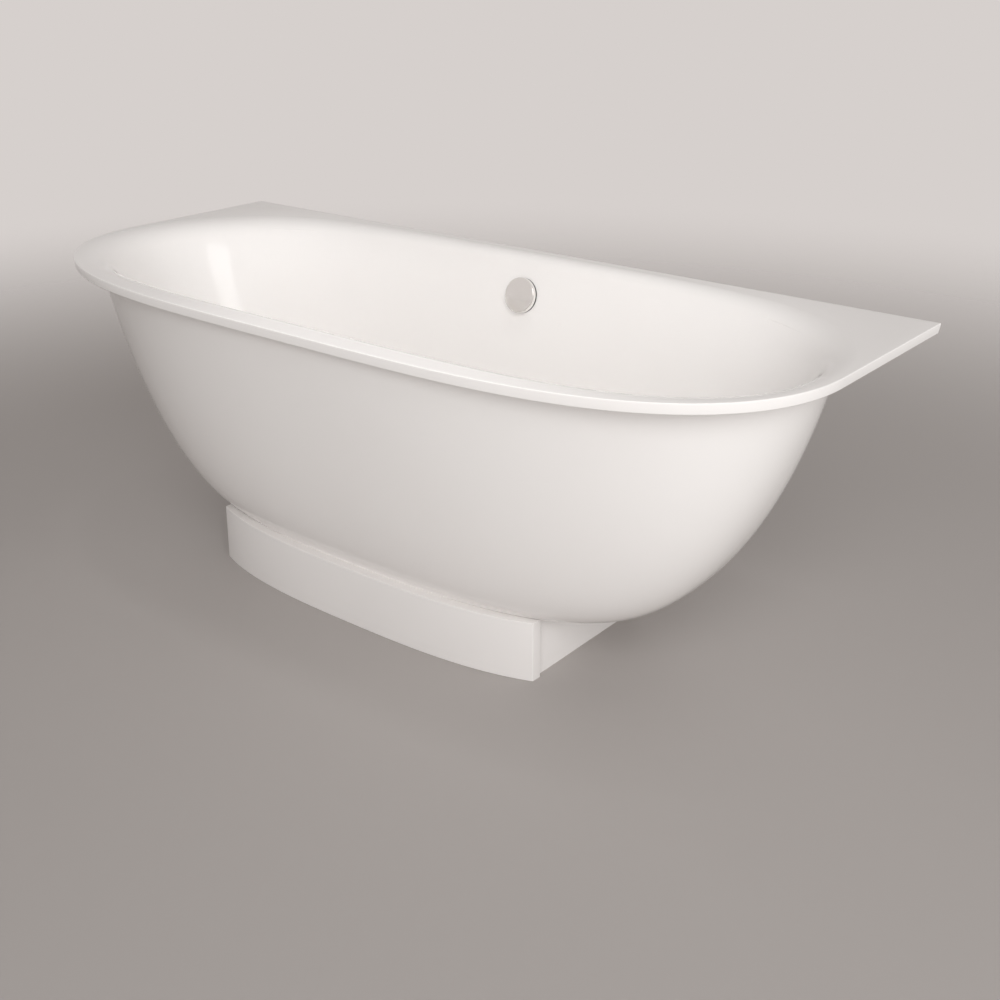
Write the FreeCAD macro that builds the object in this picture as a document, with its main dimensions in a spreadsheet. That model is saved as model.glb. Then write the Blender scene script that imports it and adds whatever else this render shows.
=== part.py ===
import FreeCAD, Part
import math
import os
import re
import Sketcher

# A back-to-wall bath: an inner basin with a flat D-shaped rim, an outer shell bonded under the rim,
# levelling feet on two rails, a low plinth of boards, and a waste worked by a knob over the overflow.
# Millimetres. X runs along the bath, Y towards the wall, Z up, with the origin on the floor in the middle.

SIZES = {
    # overall and rim
    "bath_length": 1800,
    "bath_width": 780,
    "bath_height": 645,
    "rim_edge": 20,
    "rim_power_long": 3.7,
    "rim_power_front": 2.15,
    "rim_flat_end": 38,
    "rim_flat_front": 32,
    "rim_flat_back": 33,
    # basin
    "basin_wall": 8,
    "floor_height": 205,
    "floor_fillet": 110,
    "roll_end": 70,
    "roll_front": 40,
    "roll_back": 10,
    "roll_corner": 60,
    "roll_crest": 2,
    "lean_end": 24,
    "lean_front": 14,
    "lean_back": 15,
    "mouth_power_long": 4,
    "mouth_power_front": 2.15,
    "mouth_power_back": 2.8,
    "wall_power_long": 2.8,
    "wall_power_wide": 2.05,
    # outer shell
    "shell_wall": 6,
    "shell_inset_end": 37,
    "shell_inset_side": 24,
    "shell_lean_end": 14.4,
    "shell_lean_side": 12,
    "shell_bulge_end": 0.725,
    "shell_bulge_side": 0.965,
    "shell_power_long": 2.9,
    "shell_power_wide": 2.0,
    "foot_half_length": 527,
    "foot_half_width": 213,
    "foot_turn_end": 80,
    "foot_turn_side": 4,
    "foot_power": 2.73,
    "foot_opening_length": 760,
    "foot_opening_width": 300,
    "window_width": 220,
    "window_top_band": 20,
    # base board and support rails
    "board_length": 660,
    "board_width": 210,
    "board_thickness": 18,
    "board_waste_radius": 55,
    "rail_spacing": 560,
    "rail_length": 270,
    "rail_width": 30,
    "rail_depth": 30,
    "rail_gauge": 3,
    "rail_screw_first": 60,
    "rail_screw_second": 160,
    "screw_radius": 2,
    "screw_head_radius": 4.5,
    "screw_head_depth": 3,
    "screw_bite": 13,
    # levelling feet
    "stud_spacing": 220,
    "stud_radius": 6,
    "stud_seat": 6,
    "stud_top_gap": 2,
    "collar_radius": 10,
    "collar_depth": 8,
    "pad_radius": 22,
    "pad_depth": 12,
    "socket_radius": 10,
    "socket_depth": 26,
    "lock_nut_depth": 10,
    # plinth
    "plinth_height": 120,
    "panel_step": 21,
    "panel_step_end": 17,
    "panel_half_length": 421,
    "panel_thickness": 22,
    "side_recess": 7,
    "side_thickness": 20,
    "plinth_back_face": 168,
    "back_thickness": 18,
    "block_side": 40,
    "block_depth": 100,
    "block_screw_spacing": 40,
    "block_screw_radius": 2.5,
    "block_screw_bite": 12,
    # waste, plug and lifter
    "waste_setback": 60,
    "waste_hole_radius": 25.5,
    "flange_radius": 35,
    "flange_recess": 3,
    "seat_radius": 30,
    "seat_depth": 4,
    "throat_radius": 20,
    "sleeve_radius": 24,
    "sleeve_depth": 30,
    "guide_radius": 7,
    "guide_depth": 6,
    "guide_arm": 5,
    "gasket_depth": 3,
    "gasket_radius": 42,
    "body_flange_depth": 6,
    "chamber_radius": 30,
    "chamber_depth": 70,
    "fitting_wall": 4,
    "tail_radius": 19,
    "tail_length": 30,
    "plug_radius": 31,
    "plug_edge": 3,
    "plug_dome": 3,
    "plug_gap": 1,
    "plug_seal_radius": 26.5,
    "plug_seal_width": 6,
    "plug_seal_depth": 2,
    "plug_hub_radius": 7,
    "plug_hub_depth": 5,
    "stem_radius": 4,
    "stem_nut_depth": 5,
    "lifter_drop": 65,
    "lifter_arm": 20,
    "lifter_rest": 13,
    "lifter_shaft_radius": 2.5,
    "lifter_bar_radius": 2,
    "lifter_tip_radius": 3,
    "lifter_hub_radius": 4.5,
    "lifter_hub_width": 10,
    "lifter_tail": 12,
    "lifter_gap": 0.5,
    # trap and outlet
    "trap_radius": 36,
    "trap_floor": 20,
    "trap_depth": 80,
    "trap_wall": 3,
    "collar_height": 12,
    "trap_collar_radius": 25,
    "trap_nut_radius": 31,
    "outlet_height": 72,
    "outlet_radius": 20,
    "outlet_wall": 2.5,
    "outlet_socket_length": 30,
    "outlet_wall_gap": 5,
    "outlet_push": 60,
    "push_groove_width": 1,
    "push_groove_depth": 0.5,
    "nut_lip": 4,
    "outlet_hole_gap": 6,
    # overflow and knob
    "overflow_drop": 87,
    "overflow_hole_radius": 26,
    "plate_radius": 32,
    "plate_bore": 19,
    "plate_depth": 3,
    "cup_radius": 33,
    "cup_depth": 33,
    "cup_wall": 3,
    "cup_gasket_bore": 27,
    "boss_radius": 8,
    "boss_depth": 13,
    "spindle_radius": 4,
    "lug_circle": 22.5,
    "lug_radius": 4,
    "plate_screw_radius": 2,
    "plate_screw_bite": 12,
    "knob_radius": 38.5,
    "knob_gap": 4,
    "knob_depth": 12,
    "knob_dome": 2,
    "knob_edge": 1,
    "knob_wall": 3,
    "knob_hub_radius": 8,
    "drum_radius": 9,
    "drum_depth": 6,
    "drum_lift": 2,
    "grub_radius": 2,
    # overflow hose and cable
    "hose_radius": 16,
    "hose_wall": 3,
    "hose_drop": 47,
    "hose_bend": 90,
    "hose_offset": 18,
    "hose_start": 4,
    "hose_grip": 24,
    "hose_nut_wall": 3,
    "cable_radius": 3,
    "cable_side": 33,
    "cable_drop": 72,
    "cable_bend": 60,
    "cable_port_side": 15,
    "cable_turn": 70,
    "gland_radius": 6,
    "gland_length": 30,
    # clearances
    "slide_gap": 0.1,
    "running_gap": 0.05,
    "fit_gap": 0.2,
    "seat_gap": 0.3,
}

RING_POINTS = 80
ROLL_STEPS = (0.08, 0.17, 0.3, 0.5, 0.75, 1)
WALL_STEPS = (0.25, 0.5, 0.75)
FILLET_ANGLES = (25, 40, 55, 70, 82, 90)
SHELL_STEPS = (0, 0.012, 0.03, 0.06, 0.1, 0.16, 0.24, 0.36, 0.5, 0.65, 0.82, 1)
BOW_POINTS = 15
LEFT_RIGHT = {"left": -1, "right": 1}
FRONT_BACK = {"front": -1, "back": 1}

doc = FreeCAD.newDocument("bath")
sheet = doc.addObject("Spreadsheet::Sheet", "Sizes")
for row, (alias, number) in enumerate(SIZES.items(), 1):
    sheet.set("A%d" % row, alias)
    sheet.set("B%d" % row, str(number))
    sheet.setAlias("B%d" % row, alias)
doc.recompute()
sub_parts = []


def size(expression):
    """The number that an expression of the sheet's names comes to."""
    return float(sheet.evalExpression(str(expression)))


def bind(obj, prop, expression):
    """Ties a property to an expression of the sheet's names, each of which has an underscore."""
    obj.setExpression(prop, re.sub(r"[a-z]+(_[a-z]+)+", r"Sizes.\g<0>", str(expression)))


def place(obj, x=0, y=0, z=0, axis="z"):
    """Puts an object's own Z axis along a main axis and ties its position to the sheet."""
    turns = {"x": ((0, 1, 0), 90), "y": ((1, 0, 0), -90), "z": ((0, 0, 1), 0)}
    line, angle = turns[axis]
    obj.Placement = FreeCAD.Placement(FreeCAD.Vector(), FreeCAD.Rotation(FreeCAD.Vector(*line), angle))
    for letter, expression in zip("xyz", (x, y, z)):
        bind(obj, "Placement.Base." + letter, expression)
    return obj


def cylinder(radius, height, x=0, y=0, z=0, axis="z"):
    solid = doc.addObject("Part::Cylinder", "cylinder")
    bind(solid, "Radius", radius)
    bind(solid, "Height", height)
    return place(solid, x, y, z, axis)


def box(length, width, height, x=0, y=0, z=0):
    solid = doc.addObject("Part::Box", "box")
    bind(solid, "Length", length)
    bind(solid, "Width", width)
    bind(solid, "Height", height)
    return place(solid, x, y, z)


def hexagon(radius, height, x=0, y=0, z=0):
    solid = doc.addObject("Part::Prism", "hexagon")
    solid.Polygon = 6
    bind(solid, "Circumradius", radius)
    bind(solid, "Height", height)
    return place(solid, x, y, z)


def ball(radius, x=0, y=0, z=0):
    solid = doc.addObject("Part::Sphere", "ball")
    bind(solid, "Radius", radius)
    return place(solid, x, y, z)


def fuse(*solids):
    joined = doc.addObject("Part::MultiFuse", "joined")
    joined.Shapes = list(solids)
    joined.Refine = True
    return joined


def cut(base, *tools):
    """A base with one or more tools taken away."""
    pierced = doc.addObject("Part::Cut", "pierced")
    pierced.Base = base
    pierced.Tool = tools[0] if len(tools) == 1 else fuse(*tools)
    return pierced


def common(first, second):
    """What two solids share."""
    shared = doc.addObject("Part::Common", "shared")
    shared.Base = first
    shared.Tool = second
    return shared


def group(*solids):
    """Like pieces kept as separate solids of one node."""
    together = doc.addObject("Part::Compound", "group")
    together.Links = list(solids)
    return together


def sub_part(label, obj):
    obj.Label = label
    sub_parts.append(obj)
    return obj


def outline(body, plane, corners):
    """A closed sketch of straight sides whose corners are tied to pairs of expressions."""
    planes = {feature.Role: feature for feature in body.Origin.OriginFeatures}
    sketch = body.newObject("Sketcher::SketchObject", "outline")
    sketch.AttachmentSupport = [(planes[plane], "")]
    sketch.MapMode = "FlatFace"
    spots = [FreeCAD.Vector(size(across), size(up), 0) for across, up in corners]
    for spot, following in zip(spots, spots[1:] + spots[:1]):
        sketch.addGeometry(Part.LineSegment(spot, following), False)
    for side in range(len(corners)):
        sketch.addConstraint(Sketcher.Constraint("Coincident", side, 2, (side + 1) % len(corners), 1))
    for side, corner in enumerate(corners):
        for kind, axis, expression in (("DistanceX", -2, corner[0]), ("DistanceY", -1, corner[1])):
            if expression == "0":
                sketch.addConstraint(Sketcher.Constraint("PointOnObject", side, 1, axis))
            else:
                spec = Sketcher.Constraint(kind, -1, 1, side, 1, size(expression))
                bind(sketch, "Constraints[%d]" % sketch.addConstraint(spec), expression)
    return sketch


def turned(*corners):
    """A body turned about its own Z axis from (radius, height) corners."""
    body = doc.addObject("PartDesign::Body", "turned")
    sketch = outline(body, "XZ_Plane", corners)
    doc.recompute()
    turn = body.newObject("PartDesign::Revolution", "turn")
    turn.Profile = sketch
    turn.ReferenceAxis = (sketch, ["V_Axis"])
    turn.Angle = 360
    return body


def tube(outer, bore, bottom, top):
    """A turned ring or pipe."""
    return turned((bore, bottom), (outer, bottom), (outer, top), (bore, top))


def padded(corners, height):
    """A body with an outline in its own XY plane, drawn up to a height."""
    body = doc.addObject("PartDesign::Body", "padded")
    sketch = outline(body, "XY_Plane", corners)
    doc.recompute()
    pad = body.newObject("PartDesign::Pad", "pad")
    pad.Profile = sketch
    bind(pad, "Length", height)
    return body


def rolled(depth, radius):
    """How far a quarter-round edge has gone in at a depth; straight on from the crest upwards."""
    crest = size("roll_crest")
    if depth >= radius:
        return radius
    if depth >= crest:
        return math.sqrt(depth * (2 * radius - depth))
    at_crest = math.sqrt(crest * (2 * radius - crest))
    return at_crest + (depth - crest) * (radius - crest) / at_crest


def basin_inset(height, roll, lean, outward):
    """How far inside the mouth's edge the basin's wall lies, or the face that lies outward of it.

    The wall rolls over from the rim by an arc, leans in on a straight line, and meets the floor by a fillet.
    """
    top, floor, fillet = size("bath_height"), size("floor_height"), size("floor_fillet")
    lean = math.radians(lean)
    arc, bend = roll - outward, fillet + outward
    roll_end = top - roll + arc * math.sin(lean)
    bend_start = floor + fillet - bend * math.sin(lean)
    if height > roll_end:
        return rolled(top - outward - height, arc)
    if height > bend_start:
        return arc * math.cos(lean) + (roll_end - height) * math.tan(lean)
    centre = (roll + fillet + (top - roll - floor - fillet) * math.sin(lean)) / math.cos(lean)
    return centre - math.sqrt(max(bend ** 2 - (floor + fillet - height) ** 2, 0))


def ring(half_long, front, back, power_long, height):
    """A smooth closed wire, |x/a|^p + |y/b|^q = 1, where front and back each give their b and q."""
    points = []
    for step in range(RING_POINTS):
        turn = 2 * math.pi * step / RING_POINTS
        along, across = math.cos(turn), math.sin(turn)
        half_wide, power_wide = front if across < 0 else back
        x = math.copysign(half_long * abs(along) ** (2 / power_long), along)
        y = math.copysign(half_wide * abs(across) ** (2 / power_wide), across)
        points.append(FreeCAD.Vector(x, y, height))
    curve = Part.BSplineCurve()
    curve.interpolate(points, PeriodicFlag=True)
    return Part.Wire(curve.toShape())


def basin_ring(height, outward):
    """The basin's section at a height: its corners soften from the mouth's to the wall's over the roll."""
    turned_in = rolled(size("bath_height") - height, size("roll_corner")) / size("roll_corner")

    def power(mouth, wall):
        return size(mouth) + (size(wall) - size(mouth)) * turned_in

    def half(full, side):
        inset = basin_inset(height, size("roll_" + side), size("lean_" + side), outward)
        return size(full) / 2 - size("rim_flat_" + side) - inset

    half_long = half("bath_length", "end")
    front = half("bath_width", "front")
    back = half("bath_width", "back")
    return ring(
        half_long,
        (front, power("mouth_power_front", "wall_power_wide")),
        (back, power("mouth_power_back", "wall_power_wide")),
        power("mouth_power_long", "wall_power_long"),
        height,
    )


def basin_heights(start, outward):
    """Heights of the basin's sections from a start near the rim down to the floor."""
    top, floor, fillet = size("bath_height"), size("floor_height"), size("floor_fillet")
    bend = fillet + outward
    rolls = [top - size("roll_corner") * step for step in ROLL_STEPS]
    bends = [floor + fillet - bend * math.sin(math.radians(angle)) for angle in FILLET_ANGLES]
    walls = [rolls[-1] + (bends[0] - rolls[-1]) * step for step in WALL_STEPS]
    return start + [height for height in rolls + walls + bends if height < start[-1] - 1]


def basin_loft(start, outward):
    rings = [basin_ring(height, outward) for height in basin_heights(start, outward)]
    return Part.makeLoft(rings, True, False)


def rim_slab():
    """The flat rim: square at the wall, with straight ends and a bowed front, |x/a|^p + |y/b|^q = 1."""
    half_long, half_wide = size("bath_length / 2"), size("bath_width / 2")
    points = []
    for step in range(RING_POINTS // 2 + 1):
        turn = math.pi + 2 * math.pi * step / RING_POINTS
        along, across = math.cos(turn), math.sin(turn)
        x = math.copysign(half_long * abs(along) ** (2 / size("rim_power_long")), along)
        points.append(FreeCAD.Vector(x, -half_wide * abs(across) ** (2 / size("rim_power_front")), 0))
    front = Part.BSplineCurve()
    front.interpolate(
        points, InitialTangent=FreeCAD.Vector(0, -1, 0), FinalTangent=FreeCAD.Vector(0, 1, 0)
    )
    corners = [
        FreeCAD.Vector(half_long, 0, 0),
        FreeCAD.Vector(half_long, half_wide, 0),
        FreeCAD.Vector(-half_long, half_wide, 0),
        FreeCAD.Vector(-half_long, 0, 0),
    ]
    straights = [Part.makeLine(near, far) for near, far in zip(corners, corners[1:])]
    face = Part.Face(Part.Wire([front.toShape()] + straights))
    slab = face.extrude(FreeCAD.Vector(0, 0, size("rim_edge")))
    slab.translate(FreeCAD.Vector(0, 0, size("bath_height - rim_edge")))
    return slab


def shell_half(height, rim_half, foot_half, lean, bulge, foot_turn):
    """Half size of the outer shell at a height, on a cubic from under the rim to the level foot."""
    top, foot = size("bath_height - rim_edge"), size("plinth_height")
    lean = math.radians(lean)
    pull = bulge * (top - foot)
    halves = (rim_half, rim_half - pull * math.sin(lean), foot_half + foot_turn, foot_half)
    heights = (top, top - pull * math.cos(lean), foot, foot)

    def cubic(points, at):
        weights = ((1 - at) ** 3, 3 * at * (1 - at) ** 2, 3 * at ** 2 * (1 - at), at ** 3)
        return sum(weight * point for weight, point in zip(weights, points))

    low, high = 0.0, 1.0
    for _ in range(50):
        middle = (low + high) / 2
        if cubic(heights, middle) > height:
            low = middle
        else:
            high = middle
    return cubic(halves, low)


def shell_ring(height, inward):
    """The outer shell's section at a height, or that of the face that lies inward of it."""
    foot, top = size("plinth_height"), size("bath_height - rim_edge")
    share = (height - foot) / (top - foot)
    half_long = shell_half(
        height, size("bath_length / 2 - shell_inset_end"), size("foot_half_length"),
        size("shell_lean_end"), size("shell_bulge_end"), size("foot_turn_end"),
    )
    half_wide = shell_half(
        height, size("bath_width / 2 - shell_inset_side"), size("foot_half_width"),
        size("shell_lean_side"), size("shell_bulge_side"), size("foot_turn_side"),
    )
    power_long = size("foot_power") + (size("shell_power_long") - size("foot_power")) * share
    power_wide = size("foot_power") + (size("shell_power_wide") - size("foot_power")) * share
    side = (half_wide - inward, power_wide)
    return ring(half_long - inward, side, side, power_long, height)


def shell_loft(bottom, inward):
    top = size("bath_height - rim_edge")
    heights = [bottom + (top - bottom) * step for step in SHELL_STEPS]
    return Part.makeLoft([shell_ring(height, inward) for height in heights], True, False)


def bow_y(x, setback):
    """Where the plinth panel's bowed face lies at an X position: the shell's foot line, moved forward."""
    half_long, half_wide = size("foot_half_length + panel_step_end"), size("foot_half_width + panel_step")
    power = size("foot_power")
    return setback - half_wide * (1 - (abs(x) / half_long) ** power) ** (1 / power)


def bow(setback):
    """The panel's bowed line from left to right, at a setback from its front face."""
    half_long = size("panel_half_length")
    places = [half_long * (2 * step / (BOW_POINTS - 1) - 1) for step in range(BOW_POINTS)]
    curve = Part.BSplineCurve()
    curve.interpolate([FreeCAD.Vector(x, bow_y(x, setback), 0) for x in places])
    return curve.toShape()


def plinth_prism(near, far):
    """A plinth-high solid between two lines that both run from left to right."""
    left = Part.makeLine(far.firstVertex().Point, near.firstVertex().Point)
    right = Part.makeLine(near.lastVertex().Point, far.lastVertex().Point)
    face = Part.Face(Part.Wire([near, right, far, left]))
    return face.extrude(FreeCAD.Vector(0, 0, size("plinth_height")))


def free_form(shape):
    piece = doc.addObject("Part::Feature", "free_form")
    piece.Shape = shape
    return piece


# Places that several pieces share
FLOOR_UNDER = "(floor_height - basin_wall)"
BOARD_UNDER = "(floor_height - basin_wall - board_thickness)"
OVERFLOW_IN = (
    "(roll_back * cos(lean_back)"
    " + (overflow_drop - roll_back + roll_back * sin(lean_back)) * tan(lean_back))"
)
OVERFLOW_Y = "(bath_width / 2 - rim_flat_back - " + OVERFLOW_IN + ")"
OVERFLOW_Z = "(bath_height - overflow_drop)"
CUP_FRONT = "(-basin_wall - seat_gap - gasket_depth)"
CUP_BACK = "(" + CUP_FRONT + " - cup_depth)"
CHAMBER_TOP = "(-basin_wall - gasket_depth - body_flange_depth)"
CHAMBER_FLOOR = "(" + CHAMBER_TOP + " - chamber_depth)"
HOSE_HEIGHT = "(floor_height - hose_drop)"
CABLE_HEIGHT = "(floor_height - cable_drop)"


def at_overflow(obj):
    """Sets a piece on the back wall with its own Z axis square to the wall, into the basin."""
    obj.Placement = FreeCAD.Placement(FreeCAD.Vector(), FreeCAD.Rotation(FreeCAD.Vector(1, 0, 0), 1))
    bind(obj, "Placement.Rotation.Angle", "90 - lean_back")
    bind(obj, "Placement.Base.y", OVERFLOW_Y)
    bind(obj, "Placement.Base.z", OVERFLOW_Z)
    return obj


def at_waste(obj):
    """Sets a piece on the waste's axis with its zero at the basin's floor."""
    return place(obj, 0, "waste_setback", "floor_height")


def from_overflow(side, up, inward):
    """A point given along the back wall and square to it, in the bath's own frame."""
    lean = math.radians(size("lean_back"))
    y = size(OVERFLOW_Y) + up * math.sin(lean) - inward * math.cos(lean)
    z = size(OVERFLOW_Z) + up * math.cos(lean) + inward * math.sin(lean)
    return FreeCAD.Vector(side, y, z)


# Basin: the cast acrylic inner shell with its rim, drilled for the waste and the overflow
under_rim = size("bath_height - rim_edge")
outer_start = [under_rim + size("rim_edge / 2"), under_rim]
inner_start = [size("bath_height") + depth * size("roll_crest") for depth in (1, 0, -1)]
casting = rim_slab().fuse(basin_loft(outer_start, size("basin_wall")))
hollow = free_form(casting.cut(basin_loft(inner_start, 0)))
overflow_hole = at_overflow(turned(
    ("0", "-basin_wall * 2"),
    ("overflow_hole_radius", "-basin_wall * 2"),
    ("overflow_hole_radius", "basin_wall"),
    ("0", "basin_wall"),
))
waste_hole = cylinder(
    "waste_hole_radius", "basin_wall * 3", 0, "waste_setback", "floor_height - basin_wall * 2"
)
waste_recess = cylinder(
    "flange_radius + fit_gap", "basin_wall", 0, "waste_setback", "floor_height - flange_recess"
)
sub_part("basin", cut(hollow, overflow_hole, waste_hole, waste_recess))

# Outer shell: the acrylic skin under the rim, open below and with a service window at the wall side
shell_floor = size("plinth_height + shell_wall")
skin = free_form(shell_loft(size("plinth_height"), 0).cut(shell_loft(shell_floor, size("shell_wall"))))
foot_opening = box(
    "foot_opening_length", "foot_opening_width", "shell_wall * 3",
    "-foot_opening_length / 2", "-foot_opening_width / 2", "plinth_height - shell_wall",
)
service_window = box(
    "window_width", "bath_width / 2",
    "bath_height - rim_edge - window_top_band - plinth_height - shell_wall",
    "-window_width / 2", 0, "plinth_height + shell_wall",
)
sub_part("outer_shell", cut(skin, foot_opening, service_window))

# Base board: the chipboard panel bonded under the floor
board = box(
    "board_length", "board_width", "board_thickness",
    "-board_length / 2", "-board_width / 2", BOARD_UNDER,
)
board_hole = cylinder("board_waste_radius", "board_thickness", 0, "waste_setback", BOARD_UNDER)
screw_offsets = [
    sign + place_name + " / 2"
    for sign in ("", "-")
    for place_name in ("rail_screw_first", "rail_screw_second")
]
pilots, rail_screws = [], []
for sign in LEFT_RIGHT.values():
    rail_x = "%d * rail_spacing / 2" % sign
    for offset in screw_offsets:
        pilots.append(cylinder(
            "screw_radius + running_gap", "screw_bite + fit_gap", rail_x, offset, BOARD_UNDER
        ))
        shank = cylinder(
            "screw_radius", "screw_bite + rail_gauge", rail_x, offset, BOARD_UNDER + " - rail_gauge"
        )
        head = cylinder(
            "screw_head_radius", "screw_head_depth", rail_x, offset,
            BOARD_UNDER + " - rail_gauge - screw_head_depth",
        )
        rail_screws.append(fuse(shank, head))
sub_part("base_board", cut(board, board_hole, *pilots))

# Support rails: two folded steel channels, web up, screwed across the base board
for side, sign in LEFT_RIGHT.items():
    rail_x = "%d * rail_spacing / 2" % sign
    channel = padded(
        (
            ("-rail_width / 2", "-rail_depth"),
            ("-rail_width / 2 + rail_gauge", "-rail_depth"),
            ("-rail_width / 2 + rail_gauge", "-rail_gauge"),
            ("rail_width / 2 - rail_gauge", "-rail_gauge"),
            ("rail_width / 2 - rail_gauge", "-rail_depth"),
            ("rail_width / 2", "-rail_depth"),
            ("rail_width / 2", "0"),
            ("-rail_width / 2", "0"),
        ),
        "rail_length",
    )
    channel.Placement = FreeCAD.Placement(
        FreeCAD.Vector(), FreeCAD.Rotation(FreeCAD.Vector(1, 0, 0), 90)
    )
    bind(channel, "Placement.Base.x", rail_x)
    bind(channel, "Placement.Base.y", "rail_length / 2")
    bind(channel, "Placement.Base.z", BOARD_UNDER)
    holes = [
        cylinder(
            "screw_radius + fit_gap", "rail_gauge * 3", rail_x, offset, BOARD_UNDER + " - rail_gauge * 2"
        )
        for offset in screw_offsets
    ]
    sub_part("support_rail_" + side, cut(channel, *holes))
sub_part("rail_screws", group(*rail_screws))

# Levelling feet: threaded studs in sockets under the rails, each with a lock nut and a pad
SOCKET_TOP = "(" + BOARD_UNDER + " - rail_gauge)"
SOCKET_FOOT = "(" + SOCKET_TOP + " - socket_depth)"
sockets, lock_nuts = [], []
for end, depth_sign in FRONT_BACK.items():
    for side, sign in LEFT_RIGHT.items():
        foot_x = "%d * rail_spacing / 2" % sign
        foot_y = "%d * stud_spacing / 2" % depth_sign
        sockets.append(cut(
            hexagon("socket_radius", "socket_depth", foot_x, foot_y, SOCKET_FOOT),
            cylinder("stud_radius + slide_gap", "socket_depth", foot_x, foot_y, SOCKET_FOOT),
        ))
        lock_nuts.append(cut(
            hexagon("socket_radius", "lock_nut_depth", foot_x, foot_y, SOCKET_FOOT + " - lock_nut_depth"),
            cylinder(
                "stud_radius + slide_gap", "lock_nut_depth", foot_x, foot_y,
                SOCKET_FOOT + " - lock_nut_depth",
            ),
        ))
        rod = cylinder(
            "stud_radius", SOCKET_TOP + " - stud_top_gap - stud_seat", foot_x, foot_y, "stud_seat"
        )
        collar = hexagon("collar_radius", "collar_depth", foot_x, foot_y, "pad_depth")
        sub_part("foot_stud_%s_%s" % (end, side), fuse(rod, collar))
        pad = cut(
            turned(
                ("0", "0"),
                ("pad_radius", "0"),
                ("pad_radius", "pad_depth / 2"),
                ("collar_radius", "pad_depth"),
                ("0", "pad_depth"),
            ),
            cylinder("stud_radius + running_gap", "pad_depth", 0, 0, "stud_seat"),
        )
        sub_part("foot_pad_%s_%s" % (end, side), place(pad, foot_x, foot_y))
sub_part("foot_sockets", group(*sockets))
sub_part("foot_lock_nuts", group(*lock_nuts))

# Plinth: a bowed front panel, two side boards and a back board held by corner blocks
SIDE_FACE = "(panel_half_length - side_recess)"
SIDE_INNER = "(panel_half_length - side_recess - side_thickness)"
BACK_INNER = "(plinth_back_face - back_thickness)"
BLOCK_FOOT = "((plinth_height - block_depth) / 2)"
panel_back = bow(size("panel_thickness"))
sub_part("plinth_front", free_form(plinth_prism(bow(0), panel_back)))
wall_line = Part.makeLine(*[
    FreeCAD.Vector(sign * size("panel_half_length"), size("bath_width / 2"), 0)
    for sign in LEFT_RIGHT.values()
])
behind_panel = free_form(plinth_prism(panel_back, wall_line))
block_front = bow_y(size(SIDE_INNER), size("panel_thickness"))
block_starts = {"front": str(block_front), "back": BACK_INNER + " - block_side"}
blocks, block_screws = [], []
for side, sign in LEFT_RIGHT.items():
    side_holes = []
    block_x = SIDE_INNER + " - block_side" if sign > 0 else "-" + SIDE_INNER
    screw_x = block_x if sign > 0 else block_x + " - block_screw_bite"
    head_x = block_x + " - screw_head_depth" if sign > 0 else block_x + " + block_side"
    for end, block_y in block_starts.items():
        forward = "block_side" if end == "front" else "0"
        block = common(behind_panel, box(
            "block_side", "block_side + " + forward, "block_depth",
            block_x, block_y + " - " + forward, BLOCK_FOOT,
        ))
        screw_y = block_y + " + block_side / 2"
        bores = []
        for step in ("-", "+"):
            screw_z = "plinth_height / 2 %s block_screw_spacing / 2" % step
            length = "block_side + block_screw_bite"
            shank = cylinder("block_screw_radius", length, screw_x, screw_y, screw_z, "x")
            head = cylinder("screw_head_radius", "screw_head_depth", head_x, screw_y, screw_z, "x")
            block_screws.append(fuse(shank, head))
            bores.append(cylinder(
                "block_screw_radius + running_gap", length + " + 2 * fit_gap",
                screw_x + " - fit_gap", screw_y, screw_z, "x",
            ))
        blocks.append(cut(block, *bores))
        side_holes += bores
    board = common(behind_panel, box(
        "side_thickness", "plinth_back_face + foot_half_width", "plinth_height",
        SIDE_INNER if sign > 0 else "-" + SIDE_FACE, "-foot_half_width",
    ))
    sub_part("plinth_" + side, cut(board, *side_holes))
sub_part("corner_blocks", group(*blocks))
sub_part("block_screws", group(*block_screws))
back_board = box(
    "2 * " + SIDE_INNER, "back_thickness", "plinth_height", "-" + SIDE_INNER, BACK_INNER
)
outlet_hole = cylinder(
    "outlet_radius + outlet_hole_gap", "back_thickness * 3", 0,
    "plinth_back_face - back_thickness * 2", "outlet_height", "y",
)
sub_part("plinth_back", cut(back_board, outlet_hole))

# Waste flange: the chromed ring in the floor, with a guide for the plug's stem across its sleeve
ring_and_sleeve = turned(
    ("throat_radius", "-sleeve_depth"),
    ("sleeve_radius", "-sleeve_depth"),
    ("sleeve_radius", "-flange_recess"),
    ("flange_radius", "-flange_recess"),
    ("flange_radius", "0"),
    ("seat_radius", "0"),
    ("throat_radius", "-seat_depth"),
)
guide_arm = box(
    "throat_radius + sleeve_radius", "guide_arm", "guide_depth",
    "-(throat_radius + sleeve_radius) / 2", "-guide_arm / 2", "-sleeve_depth",
)
guide = cylinder("guide_radius", "guide_depth", 0, 0, "-sleeve_depth")
stem_bore = cylinder("stem_radius + slide_gap", "guide_depth * 3", 0, 0, "-sleeve_depth - guide_depth")
sub_part("waste_flange", at_waste(cut(fuse(ring_and_sleeve, guide_arm, guide), stem_bore)))

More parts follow.
